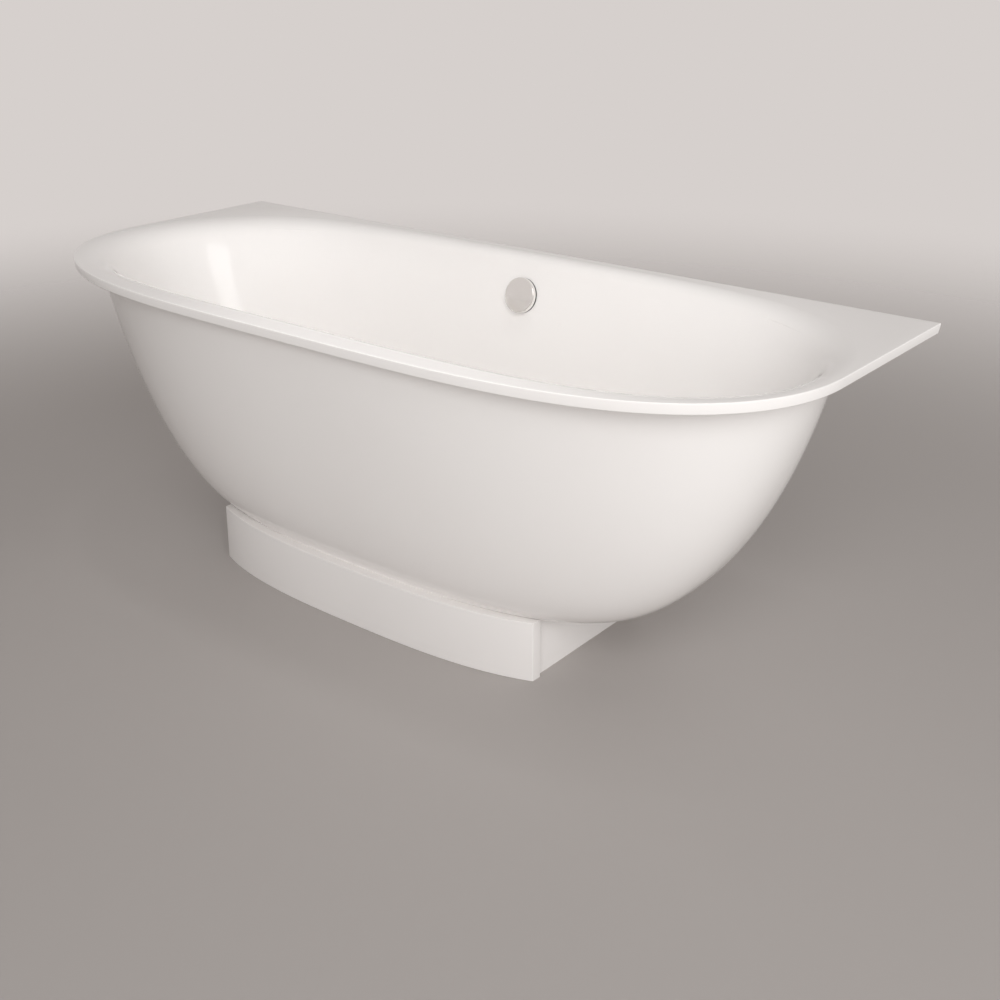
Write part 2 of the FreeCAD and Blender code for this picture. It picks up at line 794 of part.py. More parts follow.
# Waste gasket and body: clamped to the floor from below, with ports for the hose, cable and trap
sub_part("waste_gasket", at_waste(tube(
    "gasket_radius", "sleeve_radius + fit_gap", "-basin_wall - gasket_depth", "-basin_wall"
)))
CHAMBER_BORE = "(chamber_radius - fitting_wall)"
chamber = turned(
    ("sleeve_radius + fit_gap", "-basin_wall - gasket_depth"),
    ("gasket_radius", "-basin_wall - gasket_depth"),
    ("gasket_radius", CHAMBER_TOP),
    ("chamber_radius", CHAMBER_TOP),
    ("chamber_radius", CHAMBER_FLOOR),
    ("tail_radius", CHAMBER_FLOOR),
    ("tail_radius", CHAMBER_FLOOR + " - tail_length"),
    ("tail_radius - outlet_wall", CHAMBER_FLOOR + " - tail_length"),
    ("tail_radius - outlet_wall", CHAMBER_FLOOR + " + fitting_wall"),
    (CHAMBER_BORE, CHAMBER_FLOOR + " + fitting_wall"),
    (CHAMBER_BORE, "-sleeve_depth - fitting_wall"),
    ("sleeve_radius + fit_gap", "-sleeve_depth - fitting_wall"),
)
SPIGOT = "(hose_radius - hose_wall - fit_gap)"
hose_spigot = cylinder(
    SPIGOT, "fitting_wall / 2 + hose_start + hose_grip", 0,
    "chamber_radius - fitting_wall / 2", "-hose_drop", "y",
)
hose_port = cylinder(
    SPIGOT + " - outlet_wall", "chamber_radius + hose_start + hose_grip", 0, 0, "-hose_drop", "y"
)
cable_gland = cylinder(
    "gland_radius", "chamber_radius - fitting_wall / 2 + gland_length - sqrt(chamber_radius ^ 2"
    " - cable_port_side ^ 2) + fitting_wall", "cable_port_side",
    "sqrt(chamber_radius ^ 2 - cable_port_side ^ 2) - fitting_wall", "-cable_drop", "y",
)
cable_port = cylinder(
    "cable_radius + fit_gap", "chamber_radius + gland_length", "cable_port_side", 0, "-cable_drop", "y"
)
lifter_bores = cylinder(
    "lifter_shaft_radius + running_gap", "2 * chamber_radius", "-chamber_radius",
    "lifter_arm * cos(lifter_rest)", "-lifter_drop", "x",
)
sub_part("waste_body", at_waste(cut(
    fuse(chamber, hose_spigot, cable_gland), hose_port, cable_port, lifter_bores
)))

# Plug: a domed cap with its seal, stem and nut, which rise together
PLUG_TOP = "(plug_gap + plug_edge)"
sub_part("plug_cap", at_waste(turned(
    ("stem_radius + running_gap", "plug_gap - plug_hub_depth"),
    ("plug_hub_radius", "plug_gap - plug_hub_depth"),
    ("plug_hub_radius", "plug_gap"),
    ("plug_radius", "plug_gap"),
    ("plug_radius", PLUG_TOP),
    ("plug_radius - plug_edge", PLUG_TOP + " + plug_dome / 2"),
    ("plug_radius / 2", PLUG_TOP + " + plug_dome"),
    ("0", PLUG_TOP + " + plug_dome"),
    ("0", "plug_gap + plug_edge"),
    ("stem_radius + running_gap", "plug_gap + plug_edge"),
)))
sub_part("plug_seal", at_waste(tube(
    "plug_seal_radius", "plug_seal_radius - plug_seal_width", "plug_gap - plug_seal_depth", "plug_gap"
)))
STEM_FOOT = (
    "(-lifter_drop - lifter_arm * sin(lifter_rest) + lifter_tip_radius + lifter_gap)"
)
sub_part("plug_stem", at_waste(turned(
    ("0", STEM_FOOT),
    ("stem_radius", STEM_FOOT),
    ("stem_radius", "plug_gap + plug_edge"),
    ("0", "plug_gap + plug_edge"),
)))
NUT_FOOT = "(plug_gap - plug_hub_depth - stem_nut_depth)"
sub_part("plug_lock_nut", at_waste(cut(
    hexagon("plug_hub_radius", "stem_nut_depth", 0, 0, NUT_FOOT),
    cylinder("stem_radius + running_gap", "stem_nut_depth", 0, 0, NUT_FOOT),
)))

# Lifter: a bell crank on a cross shaft, whose ball tip pushes the stem up
LIFTER_Y = "(waste_setback + lifter_arm * cos(lifter_rest))"
LIFTER_Z = "(floor_height - lifter_drop)"
hub = cylinder("lifter_hub_radius", "lifter_hub_width", "-lifter_hub_width / 2", 0, 0, "x")
arm = cylinder("lifter_bar_radius", "lifter_arm", 0, "-lifter_arm", 0, "y")
tip = ball("lifter_tip_radius", 0, "-lifter_arm", 0)
cable_arm = cylinder("lifter_bar_radius", "lifter_tail", 0, 0, "-lifter_tail")
shaft_bore = cylinder(
    "lifter_shaft_radius + running_gap", "2 * lifter_hub_width", "-lifter_hub_width", 0, 0, "x"
)
lever = cut(fuse(hub, arm, tip, cable_arm), shaft_bore)
lever.Placement = FreeCAD.Placement(FreeCAD.Vector(), FreeCAD.Rotation(FreeCAD.Vector(1, 0, 0), 1))
bind(lever, "Placement.Rotation.Angle", "lifter_rest")
bind(lever, "Placement.Base.y", LIFTER_Y)
bind(lever, "Placement.Base.z", LIFTER_Z)
sub_part("lifter_lever", lever)
SHAFT_HALF = "sqrt(chamber_radius ^ 2 - (lifter_arm * cos(lifter_rest)) ^ 2)"
sub_part("lifter_shaft", cylinder(
    "lifter_shaft_radius", "2 * " + SHAFT_HALF, "-" + SHAFT_HALF, LIFTER_Y, LIFTER_Z, "x"
))

# Trap: a bottle that the waste's tail dips into, its nut, and the outlet pipe to the wall
TRAP_TOP = "(trap_floor + trap_depth)"
bottle = turned(
    ("0", "trap_floor"),
    ("trap_radius", "trap_floor"),
    ("trap_radius", TRAP_TOP),
    ("trap_collar_radius", TRAP_TOP),
    ("trap_collar_radius", TRAP_TOP + " + collar_height"),
    ("tail_radius + fit_gap", TRAP_TOP + " + collar_height"),
    ("tail_radius + fit_gap", TRAP_TOP + " - trap_wall"),
    ("trap_radius - trap_wall", TRAP_TOP + " - trap_wall"),
    ("trap_radius - trap_wall", "trap_floor + trap_wall"),
    ("0", "trap_floor + trap_wall"),
)
SOCKET_WALL = "(outlet_radius + fit_gap + trap_wall)"
outlet_socket = cylinder(
    SOCKET_WALL, "trap_wall + outlet_socket_length", 0, "trap_radius - trap_wall", "outlet_height", "y"
)
socket_root = cylinder(
    "trap_radius - trap_wall", "2 * " + SOCKET_WALL, 0, 0, "outlet_height - " + SOCKET_WALL
)
outlet_bore = cylinder(
    "outlet_radius + fit_gap", "trap_radius + outlet_socket_length", 0, 0, "outlet_height", "y"
)
trap = cut(fuse(bottle, cut(outlet_socket, socket_root)), outlet_bore)
sub_part("trap_body", place(trap, 0, "waste_setback"))
sub_part("trap_nut", place(tube(
    "trap_nut_radius", "trap_collar_radius + fit_gap", TRAP_TOP, TRAP_TOP + " + collar_height"
), 0, "waste_setback"))
OUTLET_START = "(waste_setback + trap_radius)"
OUTLET_LENGTH = "(bath_width / 2 - outlet_wall_gap - " + OUTLET_START + ")"
PUSH_START = "(" + OUTLET_LENGTH + " - outlet_push)"
sub_part("trap_outlet", place(turned(
    ("outlet_radius - outlet_wall", "0"),
    ("outlet_radius", "0"),
    ("outlet_radius", PUSH_START + " - push_groove_width"),
    ("outlet_radius - push_groove_depth", PUSH_START + " - push_groove_width"),
    ("outlet_radius - push_groove_depth", PUSH_START),
    ("outlet_radius", PUSH_START),
    ("outlet_radius", OUTLET_LENGTH),
    ("outlet_radius - outlet_wall", OUTLET_LENGTH),
), 0, OUTLET_START, "outlet_height", "y"))
sub_part("outlet_nut", place(turned(
    (SOCKET_WALL + " + fit_gap", "0"),
    (SOCKET_WALL + " + trap_wall", "0"),
    (SOCKET_WALL + " + trap_wall", "outlet_socket_length / 2 + nut_lip"),
    ("outlet_radius + fit_gap", "outlet_socket_length / 2 + nut_lip"),
    ("outlet_radius + fit_gap", "outlet_socket_length / 2"),
    (SOCKET_WALL + " + fit_gap", "outlet_socket_length / 2"),
), 0, OUTLET_START + " + outlet_socket_length / 2", "outlet_height", "y"))

# Overflow: plate inside, gasket and cup outside the back wall, drawn together by two screws
PLATE_TOP = "(seat_gap + plate_depth)"
plate = turned(
    ("plate_bore", "seat_gap"),
    ("plate_radius", "seat_gap"),
    ("plate_radius", PLATE_TOP + " - plate_depth / 2"),
    ("plate_radius - plate_depth / 2", PLATE_TOP),
    ("plate_bore", PLATE_TOP),
)
LUG_TOP = "(" + CUP_FRONT + " - cup_wall)"
LUG_DEPTH = "(cup_depth - 2 * cup_wall)"
PILOT_FOOT = "(" + LUG_TOP + " - plate_screw_bite)"
plate_holes, lugs, lug_pilots, plate_screws = [], [], [], []
for sign in LEFT_RIGHT.values():
    lug_x = "%d * lug_circle" % sign
    plate_holes.append(cylinder("plate_screw_radius + fit_gap", "3 * plate_depth", lug_x, 0, "-plate_depth"))
    lugs.append(cylinder("lug_radius", LUG_DEPTH, lug_x, 0, CUP_BACK + " + cup_wall"))
    lug_pilots.append(cylinder(
        "plate_screw_radius + running_gap", "plate_screw_bite + fit_gap", lug_x, 0, PILOT_FOOT + " - fit_gap"
    ))
    shank = cylinder("plate_screw_radius", PLATE_TOP + " - " + PILOT_FOOT, lug_x, 0, PILOT_FOOT)
    head = cylinder("lug_radius - fit_gap", "plate_depth / 2", lug_x, 0, PLATE_TOP)
    plate_screws.append(fuse(shank, head))
sub_part("overflow_plate", at_overflow(cut(plate, *plate_holes)))
sub_part("overflow_gasket", at_overflow(tube(
    "cup_radius", "cup_gasket_bore", CUP_FRONT, "-basin_wall - seat_gap"
)))
sub_part("overflow_screws", at_overflow(group(*plate_screws)))
cup = turned(
    ("0", CUP_BACK),
    ("cup_radius", CUP_BACK),
    ("cup_radius", CUP_FRONT),
    ("cup_radius - cup_wall", CUP_FRONT),
    ("cup_radius - cup_wall", CUP_BACK + " + cup_wall"),
    ("boss_radius", CUP_BACK + " + cup_wall"),
    ("boss_radius", CUP_BACK + " + cup_wall + boss_depth"),
    ("spindle_radius + running_gap", CUP_BACK + " + cup_wall + boss_depth"),
    ("spindle_radius + running_gap", CUP_BACK + " + cup_wall"),
    ("0", CUP_BACK + " + cup_wall"),
)
HOSE_IN = "(" + CUP_FRONT + " - hose_offset)"
SPIGOT_END = "(cup_radius + hose_start + hose_grip)"
cup_spigot = cylinder(
    SPIGOT, "cup_wall / 2 + hose_start + hose_grip", 0, "-" + SPIGOT_END, HOSE_IN, "y"
)
cup_port = cylinder(SPIGOT + " - outlet_wall", SPIGOT_END, 0, "-" + SPIGOT_END, HOSE_IN, "y")
cup_gland = cylinder("gland_radius", "gland_length", "cable_side", "-gland_length", HOSE_IN, "y")
gland_bore = cylinder(
    "cable_radius + fit_gap", "gland_length", "cable_side", "-gland_length - gland_length / 2", HOSE_IN, "y"
)
cup_room = cylinder("cup_radius - cup_wall", "cup_depth - cup_wall", 0, 0, CUP_BACK + " + cup_wall")
sub_part("overflow_body", at_overflow(cut(
    fuse(cup, *lugs, cup_spigot, cut(cup_gland, cup_room)), cup_port, gland_bore, *lug_pilots
)))

# Knob: a hollow cap on the spindle, locked by a grub screw, with the cable drum in the cup
KNOB_TOP = "(knob_gap + knob_depth)"
KNOB_SIDE = "(" + KNOB_TOP + " - knob_dome)"
KNOB_UNDER = "(" + KNOB_SIDE + " - knob_wall)"
knob_cap = turned(
    ("spindle_radius + running_gap", "knob_gap"),
    ("knob_hub_radius", "knob_gap"),
    ("knob_hub_radius", KNOB_UNDER),
    ("knob_radius - knob_wall", KNOB_UNDER),
    ("knob_radius - knob_wall", "knob_gap"),
    ("knob_radius", "knob_gap"),
    ("knob_radius", KNOB_SIDE + " - knob_edge"),
    ("knob_radius - knob_edge", KNOB_SIDE),
    ("knob_radius * 2 / 3", KNOB_TOP + " - knob_dome * 4 / 9"),
    ("knob_radius / 3", KNOB_TOP + " - knob_dome / 9"),
    ("0", KNOB_TOP),
    ("0", KNOB_UNDER),
    ("spindle_radius + running_gap", KNOB_UNDER),
)
GRUB_Z = "(knob_gap + 2 * grub_radius)"
grub_hole = cylinder("grub_radius + running_gap", "knob_hub_radius", 0, "-knob_hub_radius", GRUB_Z, "y")
sub_part("overflow_knob", at_overflow(cut(knob_cap, grub_hole)))
sub_part("knob_grub_screw", at_overflow(group(cylinder(
    "grub_radius", "knob_hub_radius - spindle_radius - running_gap", 0, "-knob_hub_radius", GRUB_Z, "y"
))))
sub_part("knob_spindle", at_overflow(turned(
    ("0", CUP_BACK + " + cup_wall + fit_gap"),
    ("spindle_radius", CUP_BACK + " + cup_wall + fit_gap"),
    ("spindle_radius", KNOB_UNDER),
    ("0", KNOB_UNDER),
)))
DRUM_FOOT = "(" + CUP_BACK + " + cup_wall + boss_depth + drum_lift)"
sub_part("cable_drum", at_overflow(tube(
    "drum_radius", "spindle_radius + running_gap", DRUM_FOOT, DRUM_FOOT + " + drum_depth"
)))


def route_tube(points, bends, outer, bore):
    """A pipe along straight runs joined by tangent arcs, with a bore or solid."""
    edges, near = [], points[0]
    for before, corner, following, bend in zip(points, points[1:], points[2:], bends):
        back = (before - corner).normalize()
        ahead = (following - corner).normalize()
        half_turn = (math.pi - back.getAngle(ahead)) / 2
        reach = bend * math.tan(half_turn)
        start, end = corner + back * reach, corner + ahead * reach
        inward = (back + ahead).normalize()
        middle = corner + inward * (bend / math.cos(half_turn) - bend)
        edges += [Part.makeLine(near, start), Part.Arc(start, middle, end).toShape()]
        near = end
    edges.append(Part.makeLine(near, points[-1]))
    path = Part.Wire(edges)
    along = (points[1] - points[0]).normalize()
    solids = [
        path.makePipeShell([Part.Wire(Part.makeCircle(radius, points[0], along))], True, True)
        for radius in (outer, bore) if radius
    ]
    section = math.pi * (outer ** 2 - bore ** 2)
    pipe = solids[0].cut(solids[1]) if bore else solids[0]
    share = pipe.Volume / section / path.Length
    print("route of %.1f mm, volume %.4f of section by length" % (path.Length, share))
    return pipe


# Overflow hose: down behind the basin from the cup, then forward under the floor to the waste
hose_in = size(HOSE_IN)
hose_top = from_overflow(0, -size("cup_radius + hose_start"), hose_in)
wall_lean = math.radians(size("lean_back"))


def down_to(point, height):
    """Where the line down along the back wall from a point reaches a height."""
    fall = point.z - height
    return FreeCAD.Vector(point.x, point.y - fall * math.tan(wall_lean), height)


waste_y = size("waste_setback")
hose_end = FreeCAD.Vector(0, waste_y + size("chamber_radius + hose_start"), size(HOSE_HEIGHT))
sub_part("overflow_hose", free_form(route_tube(
    [hose_top, down_to(hose_top, hose_end.z), hose_end],
    [size("hose_bend")], size("hose_radius"), size("hose_radius - hose_wall"),
)))
nut_outer, nut_bore = "hose_radius + fit_gap + hose_nut_wall", "hose_radius + fit_gap"
lower_nut = place(
    tube(nut_outer, nut_bore, "0", "hose_grip"),
    0, "waste_setback + chamber_radius + hose_start", HOSE_HEIGHT, "y",
)
upper_nut = tube(nut_outer, nut_bore, "0", "hose_grip")
upper_nut.Placement = FreeCAD.Placement(
    hose_top, FreeCAD.Rotation(FreeCAD.Vector(0, 0, 1), hose_top - from_overflow(0, 0, hose_in))
)
sub_part("hose_nuts", group(lower_nut, upper_nut))

# Cable sheath: beside the hose, from the cup's gland to the waste's
cable_top = from_overflow(size("cable_side"), -size("gland_length / 2"), hose_in)
cable_low = down_to(cable_top, size(CABLE_HEIGHT))
cable_turn = FreeCAD.Vector(
    size("cable_port_side"), waste_y + size("chamber_radius + cable_turn"), cable_low.z
)
cable_end = FreeCAD.Vector(cable_turn.x, waste_y + size("chamber_radius"), cable_low.z)
sub_part("cable_sheath", free_form(route_tube(
    [cable_top, cable_low, cable_turn, cable_end],
    [size("cable_bend"), size("cable_bend")], size("cable_radius"), 0,
)))

doc.recompute()
for obj in doc.Objects:
    if {"Invalid", "Error"} & set(obj.State):
        raise RuntimeError("%s (%s) failed: %s" % (obj.Label, obj.Name, obj.State))
for obj in sub_parts:
    if obj.Shape.isNull() or not obj.Shape.isValid() or not obj.Shape.Solids:
        raise RuntimeError(obj.Label + " has no valid solid")
os.makedirs("parts", exist_ok=True)
for obj in sub_parts:
    obj.Shape.exportStep("parts/" + obj.Label + ".step")
    print("%-24s %2d solids  %10.0f mm3" % (obj.Label, len(obj.Shape.Solids), obj.Shape.Volume))
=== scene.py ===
import bmesh
import bpy
import math
import numpy as np
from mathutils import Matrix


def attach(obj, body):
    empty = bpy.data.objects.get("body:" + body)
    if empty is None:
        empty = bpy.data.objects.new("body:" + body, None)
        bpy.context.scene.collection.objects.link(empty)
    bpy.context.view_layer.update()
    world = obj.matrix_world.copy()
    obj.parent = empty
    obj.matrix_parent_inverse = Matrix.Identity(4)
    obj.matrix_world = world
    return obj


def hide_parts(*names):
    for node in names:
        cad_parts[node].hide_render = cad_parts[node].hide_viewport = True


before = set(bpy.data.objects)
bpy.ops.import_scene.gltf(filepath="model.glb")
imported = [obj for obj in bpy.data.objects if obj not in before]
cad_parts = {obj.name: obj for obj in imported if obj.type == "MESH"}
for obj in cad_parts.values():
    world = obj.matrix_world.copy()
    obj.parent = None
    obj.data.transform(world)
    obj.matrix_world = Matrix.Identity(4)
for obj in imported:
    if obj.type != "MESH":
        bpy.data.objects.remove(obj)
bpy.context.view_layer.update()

# Basin: the inner skin of the bath, one sheet of white sanitary acrylic drawn over a mould and backed to 8 mm.
# Its rim is a flat shelf, straight at the wall and at both ends and bowed at the front, trimmed to a 20 mm edge
# that leans in and is broken by hand. Inside, the shelf rolls over into the walls, softest at the two ends.
RIM_TOP, RIM_EDGE, EDGE_ROUND, EDGE_DRAFT = 645, 20, 2, 2.5
RIM_LONG, LONG_POWER, RIM_WIDE, WIDE_POWER = 900, 3.7, 390, 2.15
# For each wall: half the mouth, the radius of its roll, its lean in degrees, and the power of the oval in plan, at
# the mouth and under the corners' roll.
END_WALL = 890.5, 68, 28, 4.65, 2.8
FRONT_WALL = 348.5, 38, 14, 2.34, 2.05
BACK_WALL = 367.75, 24, 15, 1.9, 2.05
CORNER_ROLL, FLOOR, FILLET = 125, 205, 110
SHEET, THIN_SHEET, THIN_DEPTH = 8, 2, 65
AROUND, TURN_WEIGHT, ROLL_DEPTH, CREASE = 512, 600, 62, 38


def linear(code):
    """An sRGB hex colour as linear RGBA: the sRGB curve undone for each channel."""
    srgb = np.array([int(code[start:start + 2], 16) for start in (1, 3, 5)]) / 255
    rgb = np.where(srgb <= 0.04045, srgb / 12.92, ((srgb + 0.055) / 1.055) ** 2.4)
    return (*rgb.tolist(), 1.0)


def add_node(tree, kind, values=None, links=None):
    """Adds a node, sets its properties and input values, and links its inputs to other nodes' outputs."""
    node = tree.nodes.new(kind)
    for name, value in (values or {}).items():
        if isinstance(name, int) or name in node.inputs:
            node.inputs[name].default_value = value
        else:
            setattr(node, name, value)
    for name, output in (links or {}).items():
        tree.links.new(output, node.inputs[name])
    return node


def new_material(name):
    """An empty node material, its tree, and the object's own coordinates in metres."""
    material = bpy.data.materials.new(name)
    material.use_nodes = True
    tree = material.node_tree
    tree.nodes.clear()
    return material, tree, add_node(tree, "ShaderNodeTexCoord").outputs["Object"]


def clouds(tree, place, size, detail):
    """Noise from 0 to 1 in patches of a size in metres."""
    values = {"Scale": 1 / size, "Detail": detail}
    return add_node(tree, "ShaderNodeTexNoise", values, {"Vector": place}).outputs["Fac"]


def colours(tree, first, second, share):
    """A colour that runs from the first to the second as the share goes from 0 to 1."""
    values = {"data_type": "RGBA", 6: linear(first), 7: linear(second)}
    return add_node(tree, "ShaderNodeMix", values, {0: share}).outputs[2]


def levels(tree, low, high, share):
    """A value that runs from low to high as the share goes from 0 to 1."""
    values = {"To Min": low, "To Max": high}
    return add_node(tree, "ShaderNodeMapRange", values, {"Value": share}).outputs["Result"]


def raised(tree, strength, depth, height, invert=False):
    """The normal of a surface that a height from 0 to 1 raises by a depth in metres."""
    values = {"Strength": strength, "Distance": depth, "invert": invert}
    return add_node(tree, "ShaderNodeBump", values, {"Height": height}).outputs["Normal"]


def surface(tree, values, links):
    """Ends a material with its shader and output."""
    shader = add_node(tree, "ShaderNodeBsdfPrincipled", values, links)
    add_node(tree, "ShaderNodeOutputMaterial", {}, {"Surface": shader.outputs["BSDF"]})


def grid_quads(rows, columns):
    """Quads between neighbouring rows of a grid whose columns close into a ring."""
    corner = np.arange(rows * columns).reshape(rows, columns)
    beside = np.roll(corner, -1, axis=1)
    return np.stack([corner[:-1], beside[:-1], beside[1:], corner[1:]], -1).reshape(-1, 4)


def add_piece(name, points, faces):
    """A mesh object from points in millimetres: coinciding points are merged, faces turned outwards, and edges
    that turn by more than the crease angle kept sharp under smooth shading."""
    mesh = bpy.data.meshes.new(name)
    mesh.from_pydata((np.reshape(points, (-1, 3)) / 1000).tolist(), [], [list(face) for face in faces])
    work = bmesh.new()
    work.from_mesh(mesh)
    bmesh.ops.remove_doubles(work, verts=work.verts, dist=1e-6)
    bmesh.ops.recalc_face_normals(work, faces=work.faces)
    work.to_mesh(mesh)
    work.free()
    mesh.shade_smooth()
    mesh.set_sharp_from_angle(angle=math.radians(CREASE))
    piece = bpy.data.objects.new(name, mesh)
    bpy.context.scene.collection.objects.link(piece)
    return piece


def fit(piece, material, slot, body, *nodes):
    """Gives a piece its material, seats it on a body, and lets it stand for CAD nodes. The slot is not used."""
    piece.data.materials.clear()
    piece.data.materials.append(material)
    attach(piece, body)
    if nodes:
        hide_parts(*nodes)
    return piece


def spread(curve, count):
    """Points set evenly by length along a closely drawn curve, both ends included."""
    steps = np.linalg.norm(np.diff(curve, axis=0), axis=1)
    along = np.concatenate([[0], np.cumsum(steps)])
    places = np.linspace(0, along[-1], count)
    return np.stack([np.interp(places, along, curve[:, axis]) for axis in range(curve.shape[1])], -1)


def reach(direction, long, front, back):
    """How far the oval |x/a|^p + |y/b|^q = 1 reaches from its centre in each direction, by halving a bracket.
    long, front and back are pairs of a half size and its power; b and q differ between front and back."""
    along, across = np.abs(np.cos(direction)), np.abs(np.sin(direction))
    at_front = np.sin(direction) < 0
    half = np.where(at_front, front[0], back[0])
    power = np.where(at_front, front[1], back[1])
    low = np.zeros(np.broadcast(half, long[0]).shape)
    high = np.full_like(low, 3000.0)
    for _ in range(48):
        middle = (low + high) / 2
        inside = (middle * along / long[0]) ** long[1] + (middle * across / half) ** power < 1
        low, high = np.where(inside, middle, low), np.where(inside, high, middle)
    return low


def rim_outline():
    """The rim's edge and its outward normals: |x/a|^p + |y/b|^q = 1 in front, square at the wall. Points lie
    closer where the bow turns, because its heading counts as a length too. At the two wall corners the normal is
    the sum of the sides' normals, so that an offset is mitred."""
    turn = np.linspace(np.pi, 2 * np.pi, 20001)
    bow = np.stack([
        RIM_LONG * np.sign(np.cos(turn)) * np.abs(np.cos(turn)) ** (2 / LONG_POWER),
        -RIM_WIDE * np.abs(np.sin(turn)) ** (2 / WIDE_POWER),
    ], -1)
    end_count, back_count = AROUND // 8, AROUND // 5
    bow_count = AROUND - 2 * end_count - back_count
    step = np.gradient(bow, axis=0)
    heading = np.unwrap(np.arctan2(step[:, 1], step[:, 0]))
    bow = spread(np.column_stack([bow, TURN_WEIGHT * heading]), bow_count + 1)[:, :2]
    end = np.linspace(0, RIM_WIDE, end_count + 1)
    back = np.linspace(RIM_LONG, -RIM_LONG, back_count + 1)
    edge = np.concatenate([
        bow[:-1],
        np.stack([np.full(end_count, RIM_LONG), end[:-1]], -1),
        np.stack([back[:-1], np.full(back_count, RIM_WIDE)], -1),
        np.stack([np.full(end_count, -RIM_LONG), end[:0:-1]], -1),
    ])
    slope = np.stack([
        np.sign(edge[:, 0]) * LONG_POWER / RIM_LONG * np.abs(edge[:, 0] / RIM_LONG) ** (LONG_POWER - 1),
        -WIDE_POWER / RIM_WIDE * np.abs(edge[:, 1] / RIM_WIDE) ** (WIDE_POWER - 1),
    ], -1)
    bowed = edge[:, 1] < 0
    at_end = (np.abs(edge[:, 0]) > RIM_LONG - 0.01) & ~bowed
    at_wall = edge[:, 1] > RIM_WIDE - 0.01
    square = np.stack([np.where(at_end, np.sign(edge[:, 0]), 0), np.where(at_wall, 1, 0)], -1)
    return edge, np.where(bowed[:, None], slope / np.linalg.norm(slope, axis=1)[:, None], square)


def wall_inset(height, roll, lean, outward):
    """How far inside the mouth a wall lies at each height: a quarter round of radius roll from the shelf, a
    straight line leaning in, and a fillet into the floor. outward gives the sheet's outer face instead."""
    lean = np.radians(lean)
    arc, bend = roll - outward, FILLET + outward
    roll_end = RIM_TOP - roll + arc * np.sin(lean)
    bend_start = FLOOR + FILLET - bend * np.sin(lean)
    depth = np.clip(RIM_TOP - outward - height, 0, arc)
    rolled = np.sqrt(depth * (2 * arc - depth))
    straight = arc * np.cos(lean) + (roll_end - height) * np.tan(lean)
    centre = (roll + FILLET + (RIM_TOP - roll - FLOOR - FILLET) * np.sin(lean)) / np.cos(lean)
    bent = centre - np.sqrt(np.clip(bend ** 2 - (FLOOR + FILLET - height) ** 2, 0, None))
    return np.where(height > roll_end, rolled, np.where(height > bend_start, straight, bent))


def basin_rings(height, direction, outward):
    """Rings of the basin's wall at each height, as ovals whose corners soften from the mouth down the roll."""
    height = height[:, None]
    depth = np.clip(RIM_TOP - height, 0, CORNER_ROLL)
    soft = np.sqrt(depth * (2 * CORNER_ROLL - depth)) / CORNER_ROLL
    far = reach(direction, *(
        (half - wall_inset(height, roll, lean, outward), mouth_power + (low_power - mouth_power) * soft)
        for half, roll, lean, mouth_power, low_power in (END_WALL, FRONT_WALL, BACK_WALL)
    ))
    return np.stack([far * np.cos(direction), far * np.sin(direction), height + 0 * far], -1)


def flat_rings(start, end, shares, height):
    """Rings on a level face, at shares of the way from one ring to another."""
    shares = np.array(shares)[:, None, None]
    plan = start[None, :, :2] + (end[None, :, :2] - start[None, :, :2]) * shares
    return np.concatenate([plan, np.full((*plan.shape[:2], 1), float(height))], -1)


def basin_surface():
    """The whole sheet as one grid: from the middle of the floor up the inside, over the roll, across the shelf,
    round its edge, back under it, and down the outside, where the sheet is drawn thin at first, to the middle of
    the underside."""
    edge, normal = rim_outline()
    direction = np.arctan2(edge[:, 1], edge[:, 0])
    bends = np.radians(np.linspace(0, 78, 27))
    rolls = ROLL_DEPTH * (1 - np.cos(np.radians(np.linspace(90, 0, 45))))
    low_wall = FLOOR + FILLET * (1 - np.cos(bends))
    high_wall = np.linspace(low_wall[-1], RIM_TOP - ROLL_DEPTH, 16)[1:-1]
    inner = basin_rings(np.concatenate([low_wall, high_wall, RIM_TOP - rolls]), direction, 0)
    under = RIM_TOP - RIM_EDGE
    low_outer = FLOOR + FILLET - (FILLET + SHEET) * np.cos(bends[::2])
    outside = np.concatenate([np.linspace(under, low_outer[-1], 20)[:-1], low_outer[::-1]])
    sheet = np.interp(outside, (under - THIN_DEPTH, under), (SHEET, THIN_SHEET))[:, None]
    outer = basin_rings(outside, direction, sheet)
    swing = np.radians(np.linspace(0, 90, 7))[:, None, None]
    inset = EDGE_ROUND * (1 - np.sin(swing))
    upper = np.concatenate([
        edge[None] - normal[None] * inset, RIM_TOP - EDGE_ROUND * (1 - np.cos(swing)) + 0 * edge[None, :, :1],
    ], -1)
    lower = upper[::-1] * [1, 1, -1] + [0, 0, RIM_TOP + under]
    lower[..., :2] -= normal * EDGE_DRAFT
    pole = np.zeros((AROUND, 2))
    return np.concatenate([
        flat_rings(pole, inner[0], (0, 0.2, 0.4, 0.6, 0.8), FLOOR),
        inner,
        flat_rings(inner[-1], upper[0], (0.2, 0.4, 0.6, 0.8), RIM_TOP),
        upper, lower,
        flat_rings(lower[-1], outer[0], (0.5,), under),
        outer,
        flat_rings(outer[-1], pole, (0.33, 0.66, 1), FLOOR - SHEET),
    ])


def turned(profile, columns=96):
    """A profile of (radius, height) pairs carried round the Z axis: a grid of profile by angle."""
    profile = np.array(profile, float)
    angle = np.linspace(0, 2 * np.pi, columns, endpoint=False)
    radius, height = profile[:, :1], profile[:, 1:]
    points = np.stack([radius * np.cos(angle), radius * np.sin(angle), height + 0 * angle], -1)
    return points, grid_quads(len(profile), columns)


